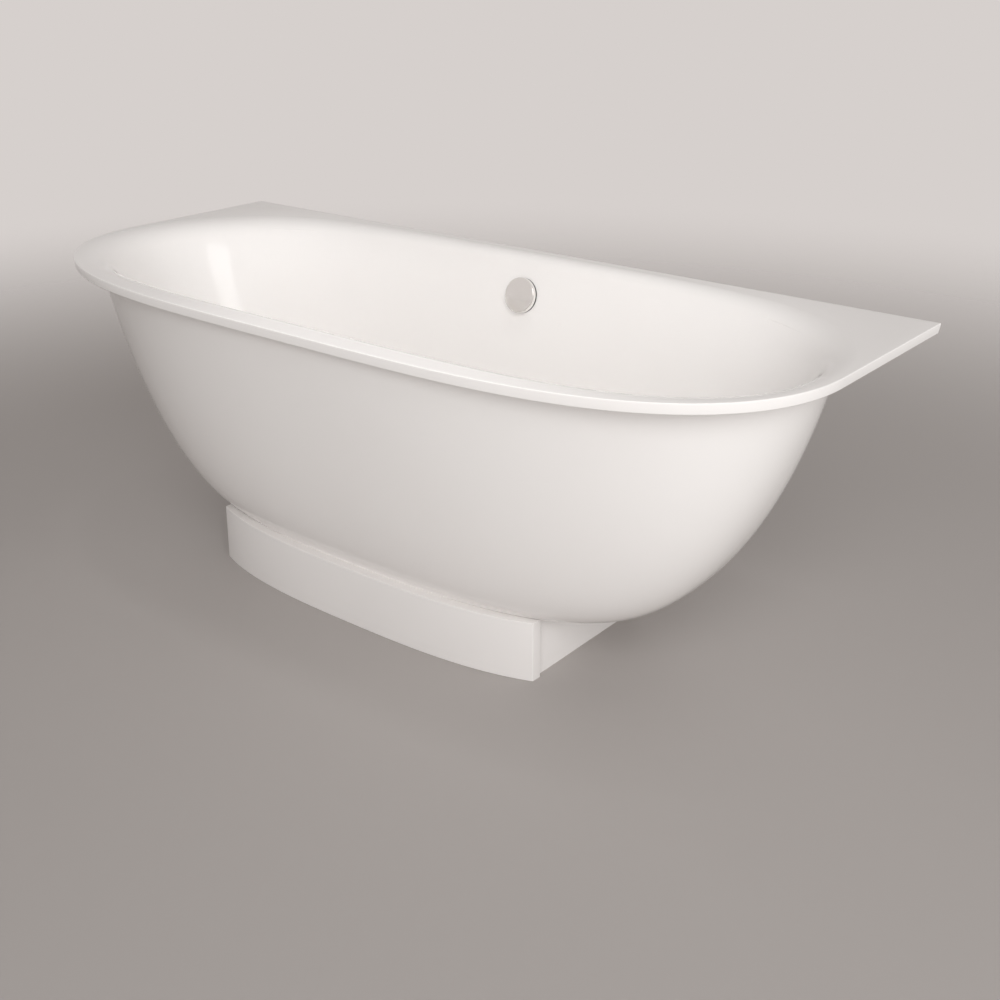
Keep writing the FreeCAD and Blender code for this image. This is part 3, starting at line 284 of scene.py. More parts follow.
def drill(piece, cutter):
    """Takes a cutter's shape out of a piece, then removes the cutter."""
    hole = piece.modifiers.new("hole", "BOOLEAN")
    hole.object = cutter
    hole.solver = "EXACT"
    bpy.context.view_layer.update()
    drilled = bpy.data.meshes.new_from_object(piece.evaluated_get(bpy.context.evaluated_depsgraph_get()))
    piece.modifiers.clear()
    piece.data = drilled
    drilled.set_sharp_from_angle(angle=math.radians(CREASE))
    bpy.data.objects.remove(cutter)


# Sanitary acrylic, vacuum formed: a deep even gloss on warm white, with the faint long ripple that the sheet
# keeps from the mould and a slightly uneven polish.
acrylic, tree, place = new_material("sanitary_acrylic")
surface(tree, {"IOR": 1.49}, {
    "Base Color": colours(tree, "#F9F7F5", "#F7F4F2", clouds(tree, place, 0.350, 2)),
    "Roughness": levels(tree, 0.05, 0.09, clouds(tree, place, 0.090, 3)),
    "Normal": raised(tree, 1, 0.00006, clouds(tree, place, 0.070, 0)),
})

rings = basin_surface()
basin = add_piece("basin_skin", rings, grid_quads(*rings.shape[:2]))
# The hole in the floor has a step for the flange; the one in the back wall stands square to it.
WASTE_Y = 60
points, quads = turned(((0, 180), (25.5, 180), (25.5, 202), (35.2, 202), (35.2, 215), (0, 215)))
drill(basin, add_piece("waste_cutter", points + [0, WASTE_Y, 0], quads))
OVERFLOW, BACK_LEAN = np.array([0, 326.015, 558]), math.radians(BACK_WALL[2])
WALL_AXES = np.array([
    [1, 0, 0], [0, math.sin(BACK_LEAN), math.cos(BACK_LEAN)], [0, -math.cos(BACK_LEAN), math.sin(BACK_LEAN)],
])


def on_back_wall(points):
    """Turns points drawn about the Z axis so that it stands square to the back wall, at the overflow."""
    return OVERFLOW + points @ WALL_AXES


points, quads = turned(((0, -20), (26, -20), (26, 10), (0, 10)))
drill(basin, add_piece("overflow_cutter", on_back_wall(points), quads))
fit(basin, acrylic, "acrylic", "bath", "basin")

# Outer shell: a second acrylic skin, drawn deep and boat-shaped, 6 mm thick. It is bonded under the rim all
# round, and its level foot is cut out for the feet and the trap. A service window is sawn in at the wall side.
SHELL, SHELL_FOOT, SHELL_TOP = 6, 120, RIM_TOP - RIM_EDGE
# For the ends and the sides: half the size under the rim and at the foot, the lean in degrees and the pull of the
# curve under the rim, and the point that it comes to the foot from, out and up.
END_CURVE = 863, 527, 14.4, 0.725, 80, 0
SIDE_CURVE = 366, 213, 12, 0.965, 6, 19
FOOT_POWER, END_POWER, SIDE_POWER = 2.73, 2.9, 2
OPENING_LONG, OPENING_WIDE, WINDOW_WIDE, WINDOW_TOP = 380, 150, 110, 605


def shell_half(height, rim, foot, lean, bulge, foot_turn, foot_rise):
    """Half size of the shell at each height, on a cubic that leaves the rim leaning in and reaches the foot along
    the line from a point that lies foot_turn out and foot_rise up from it."""
    pull = bulge * (SHELL_TOP - SHELL_FOOT)
    share = np.linspace(1, 0, 4001)
    rest = 1 - share
    weights = np.stack([rest ** 3, 3 * share * rest ** 2, 3 * share ** 2 * rest, share ** 3])
    halves = (rim, rim - pull * math.sin(math.radians(lean)), foot + foot_turn, foot) @ weights
    low = SHELL_TOP - pull * math.cos(math.radians(lean))
    return np.interp(height, (SHELL_TOP, low, SHELL_FOOT + foot_rise, SHELL_FOOT) @ weights, halves)


def shell_rings(height, direction, inward):
    """Rings of the shell at each height, ovals whose powers run evenly from the foot to the rim."""
    height = height[:, None]
    share = (height - SHELL_FOOT) / (SHELL_TOP - SHELL_FOOT)
    end = (shell_half(height, *END_CURVE) - inward, FOOT_POWER + (END_POWER - FOOT_POWER) * share)
    side = (shell_half(height, *SIDE_CURVE) - inward, FOOT_POWER + (SIDE_POWER - FOOT_POWER) * share)
    far = reach(direction, end, side, side)
    return np.stack([far * np.cos(direction), far * np.sin(direction), height + 0 * far], -1)


def box_cutter(name, low, high):
    """A plain block between two corners, for sawing out openings."""
    corners = np.array([[x, y, z] for z in (low[2], high[2]) for x, y in (
        (low[0], low[1]), (high[0], low[1]), (high[0], high[1]), (low[0], high[1]),
    )], float)
    return add_piece(name, corners, [
        (0, 1, 2, 3), (4, 5, 6, 7), (0, 1, 5, 4), (1, 2, 6, 5), (2, 3, 7, 6), (3, 0, 4, 7),
    ])


# Columns lie evenly round an oval of about the shell's size, and rows close up towards the foot.
turn = np.linspace(0, 2 * np.pi, 20001)
oval = spread(np.stack([860 * np.cos(turn), 370 * np.sin(turn)], -1), AROUND + 1)[:-1]
direction = np.arctan2(oval[:, 1], oval[:, 0])
rise = np.linspace(0, 1, 61) ** 2.4
shell_outer = shell_rings(SHELL_FOOT + (SHELL_TOP - SHELL_FOOT) * rise, direction, 0)
shell_inner = shell_rings(SHELL_FOOT + SHELL + (SHELL_TOP - SHELL_FOOT - SHELL) * rise[::-2], direction, SHELL)
middle = np.zeros((AROUND, 2))
rings = np.concatenate([
    flat_rings(middle, shell_outer[0], (0, 0.33, 0.66), SHELL_FOOT), shell_outer, shell_inner,
    flat_rings(shell_inner[-1], middle, (0.33, 0.66, 1), SHELL_FOOT + SHELL),
])
shell = add_piece("outer_skin", rings, grid_quads(*rings.shape[:2]))
drill(shell, box_cutter(
    "foot_cutter", (-OPENING_LONG, -OPENING_WIDE, SHELL_FOOT - 20), (OPENING_LONG, OPENING_WIDE, SHELL_FOOT + 20),
))
drill(shell, box_cutter(
    "window_cutter", (-WINDOW_WIDE, 0, SHELL_FOOT + SHELL), (WINDOW_WIDE, 500, WINDOW_TOP),
))
fit(shell, acrylic, "acrylic", "bath", "outer_shell")

# Base board and rails: a slab of raw chipboard is bonded under the floor and carries the load. Two channels of
# folded, galvanised steel are screwed across it, and the feet are set in them.


def dress(material, *nodes):
    """Gives CAD pieces, which keep their shape, the material of the real ones."""
    for node in nodes:
        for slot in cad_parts[node].material_slots:
            slot.material = material


# Chipboard, pressed and sanded: flat softwood chips of 3 to 6 mm in many browns, with small hollows between.
chipboard, tree, place = new_material("raw_chipboard")
flat = add_node(
    tree, "ShaderNodeMapping", {"Scale": (1 / 0.006, 1 / 0.0035, 1 / 0.002), "Rotation": (0, 0, 0.4)},
    {"Vector": place},
)
chips = add_node(tree, "ShaderNodeTexVoronoi", {"Scale": 1}, {"Vector": flat.outputs["Vector"]})
tone = add_node(tree, "ShaderNodeSeparateColor", {}, {"Color": chips.outputs["Color"]})
surface(tree, {"Roughness": 0.8}, {
    "Base Color": colours(tree, "#9C7848", "#D2B481", tone.outputs["Red"]),
    "Normal": raised(tree, 0.5, 0.0003, chips.outputs["Distance"], True),
})
dress(chipboard, "base_board")

# Galvanised steel, hot dipped: the zinc sets in crystals of about 8 mm, each a shade lighter or darker and a
# little brighter or duller than the next.
zinc, tree, place = new_material("galvanised_steel")
crystals = add_node(tree, "ShaderNodeTexVoronoi", {"Scale": 1 / 0.008}, {"Vector": place})
tone = add_node(tree, "ShaderNodeSeparateColor", {}, {"Color": crystals.outputs["Color"]})
surface(tree, {"Metallic": 1}, {
    "Base Color": colours(tree, "#A9AEB1", "#C6CACC", tone.outputs["Red"]),
    "Roughness": levels(tree, 0.3, 0.46, tone.outputs["Green"]),
})
dress(zinc, "support_rail_left", "support_rail_right", "rail_screws", "foot_sockets", "foot_lock_nuts")

# Levelling feet: four galvanised studs with a rolled thread and a hexagon for the spanner. Each runs in a long
# nut under a rail, is locked by a thin one, and stands on a round pad of black polypropylene.
STUD_ROUND, STUD_LOW, STUD_TOP, THREAD, THREAD_DEPTH = 6, 6, 174, 2.5, 0.9
COLLAR_ROUND, COLLAR_LOW, COLLAR_TOP, COLLAR_EDGE = 10, 12, 20, 0.8
FOOT_X, FOOT_Y = 280, 110


def threaded_rod():
    """A rod along Z whose radius swings between root and crest with the cosine of height over pitch less the
    turn, and shrinks to the root at both ends. The pitch is drawn coarser than the real 1.75 mm, to show."""
    height = np.linspace(STUD_LOW, STUD_TOP, 540)[:, None]
    turn = np.linspace(0, 2 * np.pi, 24, endpoint=False)
    swing = (1 + np.cos(2 * np.pi * height / THREAD - turn)) / 2
    full = np.clip(np.minimum(height - STUD_LOW, STUD_TOP - height) / THREAD, 0, 1)
    radius = STUD_ROUND - THREAD_DEPTH * (1 - swing * full)
    radius[[0, -1]] = 0
    height[1], height[-2] = STUD_LOW, STUD_TOP
    points = np.stack([radius * np.cos(turn), radius * np.sin(turn), height + 0 * turn], -1)
    return points, grid_quads(*points.shape[:2]).tolist()


def rounded_board(outline, low, high, edge):
    """A board from its plan: the outline is drawn in by the edge radius and pushed out again by a ball of that
    radius, one for the whole board or one for each point. Rows run from the underside to the top; corners of more
    than 20 degrees get a fan of seven points."""
    edge = np.broadcast_to(edge, len(outline))
    before, after = outline - np.roll(outline, 1, axis=0), np.roll(outline, -1, axis=0) - outline
    turn_in = np.arctan2(-before[:, 0], before[:, 1])
    turn_out = np.arctan2(-after[:, 0], after[:, 1])
    bend = (turn_out - turn_in + np.pi) % (2 * np.pi) - np.pi
    fan = np.where(np.abs(bend) > math.radians(20), 7, 1)
    start = np.repeat(np.cumsum(fan) - fan, fan)
    step = np.repeat(np.maximum(fan - 1, 1), fan)
    share = np.where(np.repeat(fan, fan) > 1, (np.arange(fan.sum()) - start) / step, 0.5)
    facing = np.repeat(turn_in, fan) + np.repeat(bend, fan) * share
    middle = turn_in + bend / 2
    mitre = np.stack([np.cos(middle), np.sin(middle)], -1) / np.cos(bend / 2)[:, None]
    core = np.repeat(outline - mitre * edge[:, None], fan, axis=0)
    edge = np.repeat(edge, fan)
    lift = np.radians(np.concatenate([np.linspace(-90, 0, 6), np.linspace(0, 90, 6)]))[:, None]
    base = low + edge + (high - low - 2 * edge) * np.repeat([0, 1], 6)[:, None]
    points = np.stack([
        core[:, 0] + edge * np.cos(lift) * np.cos(facing), core[:, 1] + edge * np.cos(lift) * np.sin(facing),
        base + edge * np.sin(lift),
    ], -1)
    rows, columns = points.shape[:2]
    caps = [list(range(columns)), list(range((rows - 1) * columns, rows * columns))]
    return points, [*grid_quads(rows, columns).tolist(), *caps]


def joined(*shapes):
    """Several shapes, each of points and faces, as one."""
    shapes = [(np.reshape(points, (-1, 3)), faces) for points, faces in shapes]
    starts = np.cumsum([0] + [len(points) for points, _ in shapes])
    faces = [[corner + start for corner in face] for (_, part), start in zip(shapes, starts) for face in part]
    return np.concatenate([points for points, _ in shapes]), faces


sides = np.radians(np.arange(0, 360, 60))
hexagon = COLLAR_ROUND * np.stack([np.cos(sides), np.sin(sides)], -1)
points, faces = joined(threaded_rod(), rounded_board(hexagon, COLLAR_LOW, COLLAR_TOP, COLLAR_EDGE))
for foot, step in (
    ("front_left", (-1, -1)), ("front_right", (1, -1)), ("back_left", (-1, 1)), ("back_right", (1, 1)),
):
    stud = add_piece("threaded_stud_" + foot, points + [step[0] * FOOT_X, step[1] * FOOT_Y, 0], faces)
    fit(stud, zinc, "zinc_steel", "foot_" + foot, "foot_stud_" + foot)

# Polypropylene, moulded black: a fine grain from the spark-eroded mould, drawn at a millimetre, and a soft sheen.
pad_black, tree, place = new_material("black_polypropylene")
grain = clouds(tree, place, 0.001, 2)
surface(tree, {"Roughness": 0.55, "IOR": 1.49}, {
    "Base Color": colours(tree, "#19191A", "#232324", grain), "Normal": raised(tree, 0.4, 0.0001, grain),
})
dress(pad_black, "foot_pad_front_left", "foot_pad_front_right", "foot_pad_back_left", "foot_pad_back_right")

# Plinth: four boards of moisture-proof fibreboard under the shell, sprayed and rolled with satin white paint.
# The front one is bent to the foot's curve and stands a little proud of the side boards at both ends.
PLINTH_TOP, BOARD_EDGE, SAWN_EDGE, HIDDEN_EDGE = 120, 1.5, 0.5, 0.3
PANEL_HALF, PANEL, BOW_LONG, BOW_DEEP = 421, 22, 544, 234
SIDE_IN, SIDE_OUT, BACK_IN, BACK_OUT = 394, 414, 150, 168
OUTLET_HEIGHT, OUTLET_HOLE = 72, 26


def panel_bow(x, setback):
    """The panel's curve in plan: an oval of the foot's power round it, moved back by a setback."""
    return setback - BOW_DEEP * (1 - (np.abs(x) / BOW_LONG) ** FOOT_POWER) ** (1 / FOOT_POWER)


def laid_back(points):
    """Points drawn about the Z axis, laid along Y by a swap of the two."""
    return points[..., [0, 2, 1]]


# Satin paint over fibreboard: the roller leaves a low stipple, about a millimetre and a half from dot to dot.
# It is drawn at twice that, because the true one is finer than a pixel.
paint, tree, place = new_material("satin_paint")
cloud = clouds(tree, place, 0.180, 2)
surface(tree, {"IOR": 1.47}, {
    "Base Color": colours(tree, "#ECE9E7", "#E9E6E4", cloud),
    "Roughness": levels(tree, 0.32, 0.42, cloud),
    "Normal": raised(tree, 0.35, 0.00008, clouds(tree, place, 0.003, 1)),
})

across = np.linspace(-PANEL_HALF, PANEL_HALF, 121)
front = np.stack([across, panel_bow(across, 0)], -1)
panel = np.concatenate([front, np.stack([across, panel_bow(across, PANEL)], -1)[::-1]])
rounds = np.repeat([BOARD_EDGE, HIDDEN_EDGE], len(across))
fit(add_piece("plinth_panel", *rounded_board(panel, 0, PLINTH_TOP, rounds)),
    paint, "painted_board", "bath", "plinth_front")
for side, sign in (("left", -1), ("right", 1)):
    inner, outer = SIDE_IN * sign, SIDE_OUT * sign
    board = np.array([
        (outer, panel_bow(outer, PANEL)), (outer, BACK_OUT), (inner, BACK_OUT), (inner, panel_bow(inner, PANEL)),
    ])[::sign]
    fit(add_piece("plinth_board_" + side, *rounded_board(board, 0, PLINTH_TOP, SAWN_EDGE)),
        paint, "painted_board", "bath", "plinth_" + side)
board = np.array([(-SIDE_IN, BACK_IN), (SIDE_IN, BACK_IN), (SIDE_IN, BACK_OUT), (-SIDE_IN, BACK_OUT)])
back_board = add_piece("plinth_board_back", *rounded_board(board, 0, PLINTH_TOP, SAWN_EDGE))
points, quads = turned((
    (0, BACK_IN - 10), (OUTLET_HOLE, BACK_IN - 10), (OUTLET_HOLE, BACK_OUT + 12), (0, BACK_OUT + 12),
))
drill(back_board, add_piece("outlet_cutter", laid_back(points) + [0, 0, OUTLET_HEIGHT], quads))
fit(back_board, paint, "painted_board", "bath", "plinth_back")

# Softwood, planed: the blocks that hold the boards at the corners, with upright grain. Bands of late wood one or
# two centimetres apart wander along it.
softwood, tree, place = new_material("planed_softwood")
upright = add_node(tree, "ShaderNodeMapping", {"Scale": (1, 1, 0.06)}, {"Vector": place})
bands = add_node(tree, "ShaderNodeTexWave", {
    "bands_direction": "DIAGONAL", "Scale": 10, "Distortion": 6, "Detail": 2, "Detail Scale": 2,
}, {"Vector": upright.outputs["Vector"]})
surface(tree, {"Roughness": 0.7}, {"Base Color": colours(tree, "#D8B681", "#B98A50", bands.outputs["Fac"])})
dress(softwood, "corner_blocks")
dress(zinc, "block_screws")

# Waste: a flange of chromed brass let into the floor, drawn down on a black rubber gasket by the chamber below,
# which is moulded in white polypropylene. Arms across its throat guide the plug's stem.

# Chrome plate over polished brass: a near mirror, with dried water that dulls it in patches of a centimetre.
chrome, tree, place = new_material("polished_chrome")
surface(tree, {"Base Color": linear("#DADAD9"), "Metallic": 1}, {
    "Roughness": levels(tree, 0.05, 0.14, clouds(tree, place, 0.012, 3)),
})
dress(chrome, "waste_flange")

# Nitrile rubber, moulded: a dead black with a faint grey bloom in clouds of half a centimetre.
rubber, tree, place = new_material("nitrile_rubber")
surface(tree, {"Roughness": 0.75}, {
    "Base Color": colours(tree, "#121213", "#27272A", clouds(tree, place, 0.005, 3)),
})
dress(rubber, "waste_gasket", "plug_seal", "overflow_gasket")

# Polypropylene, moulded white: a little milky, with the mould's satin grain, drawn at a millimetre and a half.
pipe_white, tree, place = new_material("white_polypropylene")
surface(tree, {"Roughness": 0.4, "IOR": 1.49}, {
    "Base Color": colours(tree, "#ECEBE7", "#E2E1DC", clouds(tree, place, 0.040, 2)),
    "Normal": raised(tree, 0.3, 0.0001, clouds(tree, place, 0.0015, 2)),
})
dress(pipe_white, "waste_body")

# Plug: a low dome of chromed brass over the flange, with a rubber seal under it. Its brass stem is locked by a
# nut and stands on the lifter, a small crank on a cross shaft in the chamber.
PLUG_ROUND, PLUG_LOW, PLUG_EDGE, PLUG_DOME, DOME_POWER = 31, 206, 209, 3, 2.83
PLUG_CHAMFER, PLUG_HUB, HUB_LOW, STEM_BORE = 0.6, 7, 201, 4.05
bulge = PLUG_ROUND * np.sin(np.linspace(0, np.pi / 2, 40))
plug_profile = [
    *zip(bulge, PLUG_EDGE + PLUG_DOME * np.sqrt(np.clip(1 - (bulge / PLUG_ROUND) ** DOME_POWER, 0, None))),
    (PLUG_ROUND, PLUG_LOW + PLUG_CHAMFER), (PLUG_ROUND - PLUG_CHAMFER, PLUG_LOW),
    (PLUG_HUB, PLUG_LOW), (PLUG_HUB, HUB_LOW), (STEM_BORE, HUB_LOW), (STEM_BORE, PLUG_EDGE), (0, PLUG_EDGE),
]
points, quads = turned(plug_profile)
fit(add_piece("plug_dome", points + [0, WASTE_Y, 0], quads), chrome, "chrome", "plug", "plug_cap")

# Brass, turned and left bare: warm, with lathe lines, drawn about three millimetres apart to show, and a tarnish
# in patches.
brass, tree, place = new_material("turned_brass")
lines = add_node(tree, "ShaderNodeTexWave", {
    "bands_direction": "Z", "Scale": 100, "Distortion": 0.5,
}, {"Vector": place})
patches = clouds(tree, place, 0.006, 3)
surface(tree, {"Metallic": 1}, {
    "Base Color": colours(tree, "#D0AC5E", "#B08C46", patches),
    "Roughness": levels(tree, 0.22, 0.38, patches),
    "Normal": raised(tree, 0.15, 0.00005, lines.outputs["Fac"]),
})
dress(brass, "plug_stem", "plug_lock_nut", "lifter_lever", "lifter_shaft", "knob_spindle")

# Trap: a bottle of white polypropylene that the chamber's tail dips into, held by a fluted nut. A 40 mm pipe in a
# second nut leads from it through the back board to the wall.
TRAP_NUT_LOW, OUTLET_NUT_Y, GRIP_DEPTH = 100, 111, 1.2
dress(pipe_white, "trap_body", "trap_outlet")


def grip_nut(profile, flutes):
    """A turned nut whose largest radius dips by the grip's depth between its grips, with the cosine of the
    turn."""
    points, quads = turned(profile, flutes * 8)
    turn = np.linspace(0, 2 * np.pi, flutes * 8, endpoint=False)
    size = np.linalg.norm(points[..., :2], axis=-1)
    dip = GRIP_DEPTH / 2 * (1 - np.cos(flutes * turn)) * (size > size.max() - 1)
    return points * np.stack([1 - dip / size, 1 - dip / size, 1 + 0 * dip], -1), quads


points, quads = grip_nut((
    (25.2, 0), (30.2, 0), (31, 0.8), (31, 11.2), (30.2, 12), (25.2, 12), (25.2, 0),
), 20)
trap_nut = add_piece("fluted_trap_nut", points + [0, WASTE_Y, TRAP_NUT_LOW], quads)
fit(trap_nut, pipe_white, "pipe_plastic", "bath", "trap_nut")
points, quads = grip_nut((
    (23.4, 0), (25.4, 0), (26.2, 0.8), (26.2, 18.2), (25.4, 19), (20.2, 19), (20.2, 15), (23.4, 15), (23.4, 0),
), 18)
outlet_nut = add_piece("fluted_outlet_nut", laid_back(points) + [0, OUTLET_NUT_Y, OUTLET_HEIGHT], quads)
fit(outlet_nut, pipe_white, "pipe_plastic", "bath", "outlet_nut")

# Overflow: a cup of white polypropylene behind the back wall, drawn against it by two screws from a stainless
# plate inside. A black rubber ring round the plate reaches out almost to the knob's edge, and it is painted shade:
# it darkens the gap behind the knob into a thin dark line. The knob's spindle runs through both and turns the drum
# that winds the cable.

# Stainless steel, brushed: a grey mirror broken by fine scratches across, drawn at half a millimetre.
stainless, tree, place = new_material("brushed_stainless")
strokes = add_node(
    tree, "ShaderNodeMapping", {"Scale": (1 / 0.020, 1 / 0.0005, 1 / 0.0005)}, {"Vector": place},
)
surface(tree, {"Base Color": linear("#C7C6C4"), "Metallic": 1}, {
    "Roughness": levels(tree, 0.2, 0.42, clouds(tree, strokes.outputs["Vector"], 1, 3)),
})
dress(stainless, "overflow_plate", "overflow_screws", "knob_grub_screw")
dress(pipe_white, "overflow_body", "cable_drum")
# Painted shade: a black ring round the plate, out almost to the knob's edge, that gives the gap behind the knob
# its dark line.
points, quads = turned((
    (32.2, 0.3), (37.9, 0.3), (38.3, 0.7), (37.9, 3), (37.5, 3.4), (32.2, 3.4), (32.2, 0.3),
))
fit(add_piece("knob_gap_shade_ring", on_back_wall(points), quads), rubber, "seal_rubber", "bath")

# Overflow hose: a ribbed tube of soft grey PVC from the cup down behind the basin and under it to the chamber.
# Plain cuffs at its ends are pushed on spigots and held by two fluted nuts.
HOSE_ROUND, HOSE_BORE, HOSE_RIB, RIB_DEPTH, HOSE_CUFF = 16, 13, 7, 1.6, 27
CUP_BACK = -29.3
HOSE_SPIGOT = np.array([0, -37, CUP_BACK])


def route_line(points, step):
    """The smooth line that follows a route: a NURBS spline of order 3 with the route's points as its control
    points, read back as a fine line and set out evenly."""
    curve = bpy.data.curves.new("route", "CURVE")
    curve.dimensions = "3D"
    spline = curve.splines.new("NURBS")
    spline.points.add(len(points) - 1)
    spline.points.foreach_set("co", np.column_stack([points, np.ones(len(points))]).ravel())
    spline.order_u, spline.use_endpoint_u, spline.resolution_u = 3, True, 60
    holder = bpy.data.objects.new("route", curve)
    bpy.context.scene.collection.objects.link(holder)
    bpy.context.view_layer.update()
    line = bpy.data.meshes.new_from_object(holder)
    places = np.empty(len(line.vertices) * 3)
    line.vertices.foreach_get("co", places)
    bpy.data.objects.remove(holder)
    places = places.reshape(-1, 3)
    return spread(places, int(np.linalg.norm(np.diff(places, axis=0), axis=1).sum() / step) + 1)


def carried(path, radius, columns):
    """A circle carried along a path and kept square to it: rings of the given radius at each of its points."""
    along = np.gradient(path, axis=0)
    along = along / np.linalg.norm(along, axis=1)[:, None]
    side = [1, 0, 0] - along * along[:, :1]
    side = side / np.linalg.norm(side, axis=1)[:, None]
    turn = np.linspace(0, 2 * np.pi, columns, endpoint=False)[:, None]
    ring = np.cos(turn) * side[:, None] + np.sin(turn) * np.cross(side, along)[:, None]
    return path[:, None] + np.reshape(radius, (-1, 1, 1)) * ring


hose_top = on_back_wall(HOSE_SPIGOT)
hose_corner, hose_end = np.array([0, 249.17, 158]), np.array([0, 94, 158])
share = (hose_corner - hose_end)[1] / np.linalg.norm(hose_top - hose_corner)
line = route_line(np.stack([
    hose_top, hose_corner + (hose_top - hose_corner) * share, hose_corner, hose_end,
]), 1)
along = np.linspace(0, len(line) - 1, len(line))
ribbed = np.clip(np.minimum(along, len(line) - 1 - along) - HOSE_CUFF, 0, 3) / 3
ribs = RIB_DEPTH / 2 * ribbed * (1 - np.cos(2 * np.pi * along / HOSE_RIB))
outer = carried(line, HOSE_ROUND - ribs, 40)
inner = carried(line, np.full(len(line), HOSE_BORE), 40)
rings = np.concatenate([outer, inner[::-1], outer[:1]])
hose = add_piece("ribbed_hose", rings, grid_quads(*rings.shape[:2]))

# PVC, soft and extruded: an even mid grey with a dull, slightly waxy skin, cloudy over a few centimetres.
hose_grey, tree, place = new_material("soft_grey_pvc")
cloud = clouds(tree, place, 0.030, 3)
surface(tree, {"IOR": 1.53}, {
    "Base Color": colours(tree, "#8F9396", "#7F8386", cloud), "Roughness": levels(tree, 0.4, 0.55, cloud),
})
fit(hose, hose_grey, "hose_plastic", "bath", "overflow_hose")

points, quads = grip_nut((
    (16.2, 0), (18.4, 0), (19.2, 0.8), (19.2, 23.2), (18.4, 24), (16.2, 24), (16.2, 0),
), 16)
lying = laid_back(points)
nuts = joined((lying + hose_end, quads), (on_back_wall(lying * [1, -1, 1] + HOSE_SPIGOT), quads))
fit(add_piece("fluted_hose_nuts", *nuts), pipe_white, "pipe_plastic", "bath", "hose_nuts")

# Cable: a thin black PVC sheath beside the hose, from the cup's gland to the chamber's. The wire in it turns the
# lifter when the knob winds it up.
CABLE_ROUND = 3
cable_top = on_back_wall(np.array([33, -15, CUP_BACK]))
cable_corner, cable_turn, cable_end = np.array([[33, 242.47, 133], [15, 160, 133], [15, 90, 133]])
share = np.linalg.norm(cable_turn - cable_corner) / np.linalg.norm(cable_top - cable_corner)
line = route_line(np.stack([
    cable_top, cable_corner + (cable_top - cable_corner) * share, cable_corner, cable_turn, cable_end,
]), 3)
rings = carried(line, np.full(len(line), CABLE_ROUND), 20)
rings = np.concatenate([0 * rings[:1] + line[0], rings, 0 * rings[:1] + line[-1]])
cable = add_piece("black_cable", rings, grid_quads(*rings.shape[:2]))

# PVC sheath, extruded black: a smooth low shine, rubbed duller and greyer in spots of a few millimetres.
sheath, tree, place = new_material("black_pvc_sheath")
scuff = clouds(tree, place, 0.004, 3)
surface(tree, {"IOR": 1.53}, {
    "Base Color": colours(tree, "#161617", "#2A2A2C", scuff), "Roughness": levels(tree, 0.3, 0.5, scuff),
})
fit(cable, sheath, "cable_plastic", "bath", "cable_sheath")

# Overflow knob: a round cap of spun brass, chrome plated and satin finished, a little domed. It stands clear
# of the wall by a few millimetres, so that the overflow can run in behind it, and turns on a spindle.
KNOB_ROUND, KNOB_GAP, KNOB_SIDE, KNOB_TOP, KNOB_SOFT = 38.5, 4, 14, 16, 3
KNOB_WALL, KNOB_CHAMFER, KNOB_HOLLOW, KNOB_HUB, SPINDLE_BORE = 3, 0.5, 11, 8, 4.05
swing = np.radians(np.linspace(90, 0, 8))
face = np.linspace(0, KNOB_ROUND - KNOB_SOFT, 26)
inside = KNOB_ROUND - KNOB_WALL
knob_profile = [
    *zip(face, KNOB_TOP - (KNOB_TOP - KNOB_SIDE) * (face / (KNOB_ROUND - KNOB_SOFT)) ** 2),
    *zip(KNOB_ROUND - KNOB_SOFT * (1 - np.cos(swing)), KNOB_SIDE - KNOB_SOFT * (1 - np.sin(swing))),
    (KNOB_ROUND, KNOB_GAP + KNOB_CHAMFER), (KNOB_ROUND - KNOB_CHAMFER, KNOB_GAP),
    (inside + KNOB_CHAMFER, KNOB_GAP), (inside, KNOB_GAP + KNOB_CHAMFER), (inside, KNOB_HOLLOW),
    (KNOB_HUB, KNOB_HOLLOW), (KNOB_HUB, KNOB_GAP), (SPINDLE_BORE, KNOB_GAP), (SPINDLE_BORE, KNOB_HOLLOW),
    (0, KNOB_HOLLOW),
]
points, quads = turned(knob_profile, 128)
knob = add_piece("knob_cap", on_back_wall(points), quads)

# Satin chrome, spun: fine rings from the lathe stretch each highlight across them, towards and away from the
# middle. The UV map runs round the axis, which gives the shader the direction of the rings. Each corner's angle
# is taken next to that of its face's middle, so that no face runs back across the seam.
angle_map = knob.data.uv_layers.new(name="spin")
places = np.empty(len(knob.data.vertices) * 3)
knob.data.vertices.foreach_get("co", places)
local = (places.reshape(-1, 3) * 1000 - OVERFLOW) @ WALL_AXES[:2].T
corner = np.empty(len(knob.data.loops), int)
knob.data.loops.foreach_get("vertex_index", corner)
sizes = np.empty(len(knob.data.polygons), int)
knob.data.polygons.foreach_get("loop_total", sizes)
owner = np.repeat(np.arange(len(sizes)), sizes)
middle = np.stack([np.bincount(owner, local[corner, axis]) / sizes for axis in (0, 1)], -1)
facing = np.arctan2(middle[:, 1], middle[:, 0])[owner]
angle = np.arctan2(local[corner, 1], local[corner, 0])
round_share = (facing + (angle - facing + np.pi) % (2 * np.pi) - np.pi) / (2 * np.pi)
radius = np.linalg.norm(local[corner], axis=1)
round_share = np.where(radius < 0.01, facing / (2 * np.pi), round_share)
angle_map.data.foreach_set("uv", np.stack([round_share, radius / KNOB_ROUND], -1).ravel())

satin, tree, place = new_material("satin_chrome")
spin = add_node(tree, "ShaderNodeTangent", {"direction_type": "UV_MAP", "uv_map": "spin"})
surface(tree, {"Base Color": linear("#F6F4F2"), "Metallic": 1, "Anisotropic": 0.4}, {
    "Roughness": levels(tree, 0.12, 0.17, clouds(tree, place, 0.006, 2)), "Tangent": spin.outputs["Tangent"],
})
fit(knob, satin, "satin_chrome", "knob", "overflow_knob")

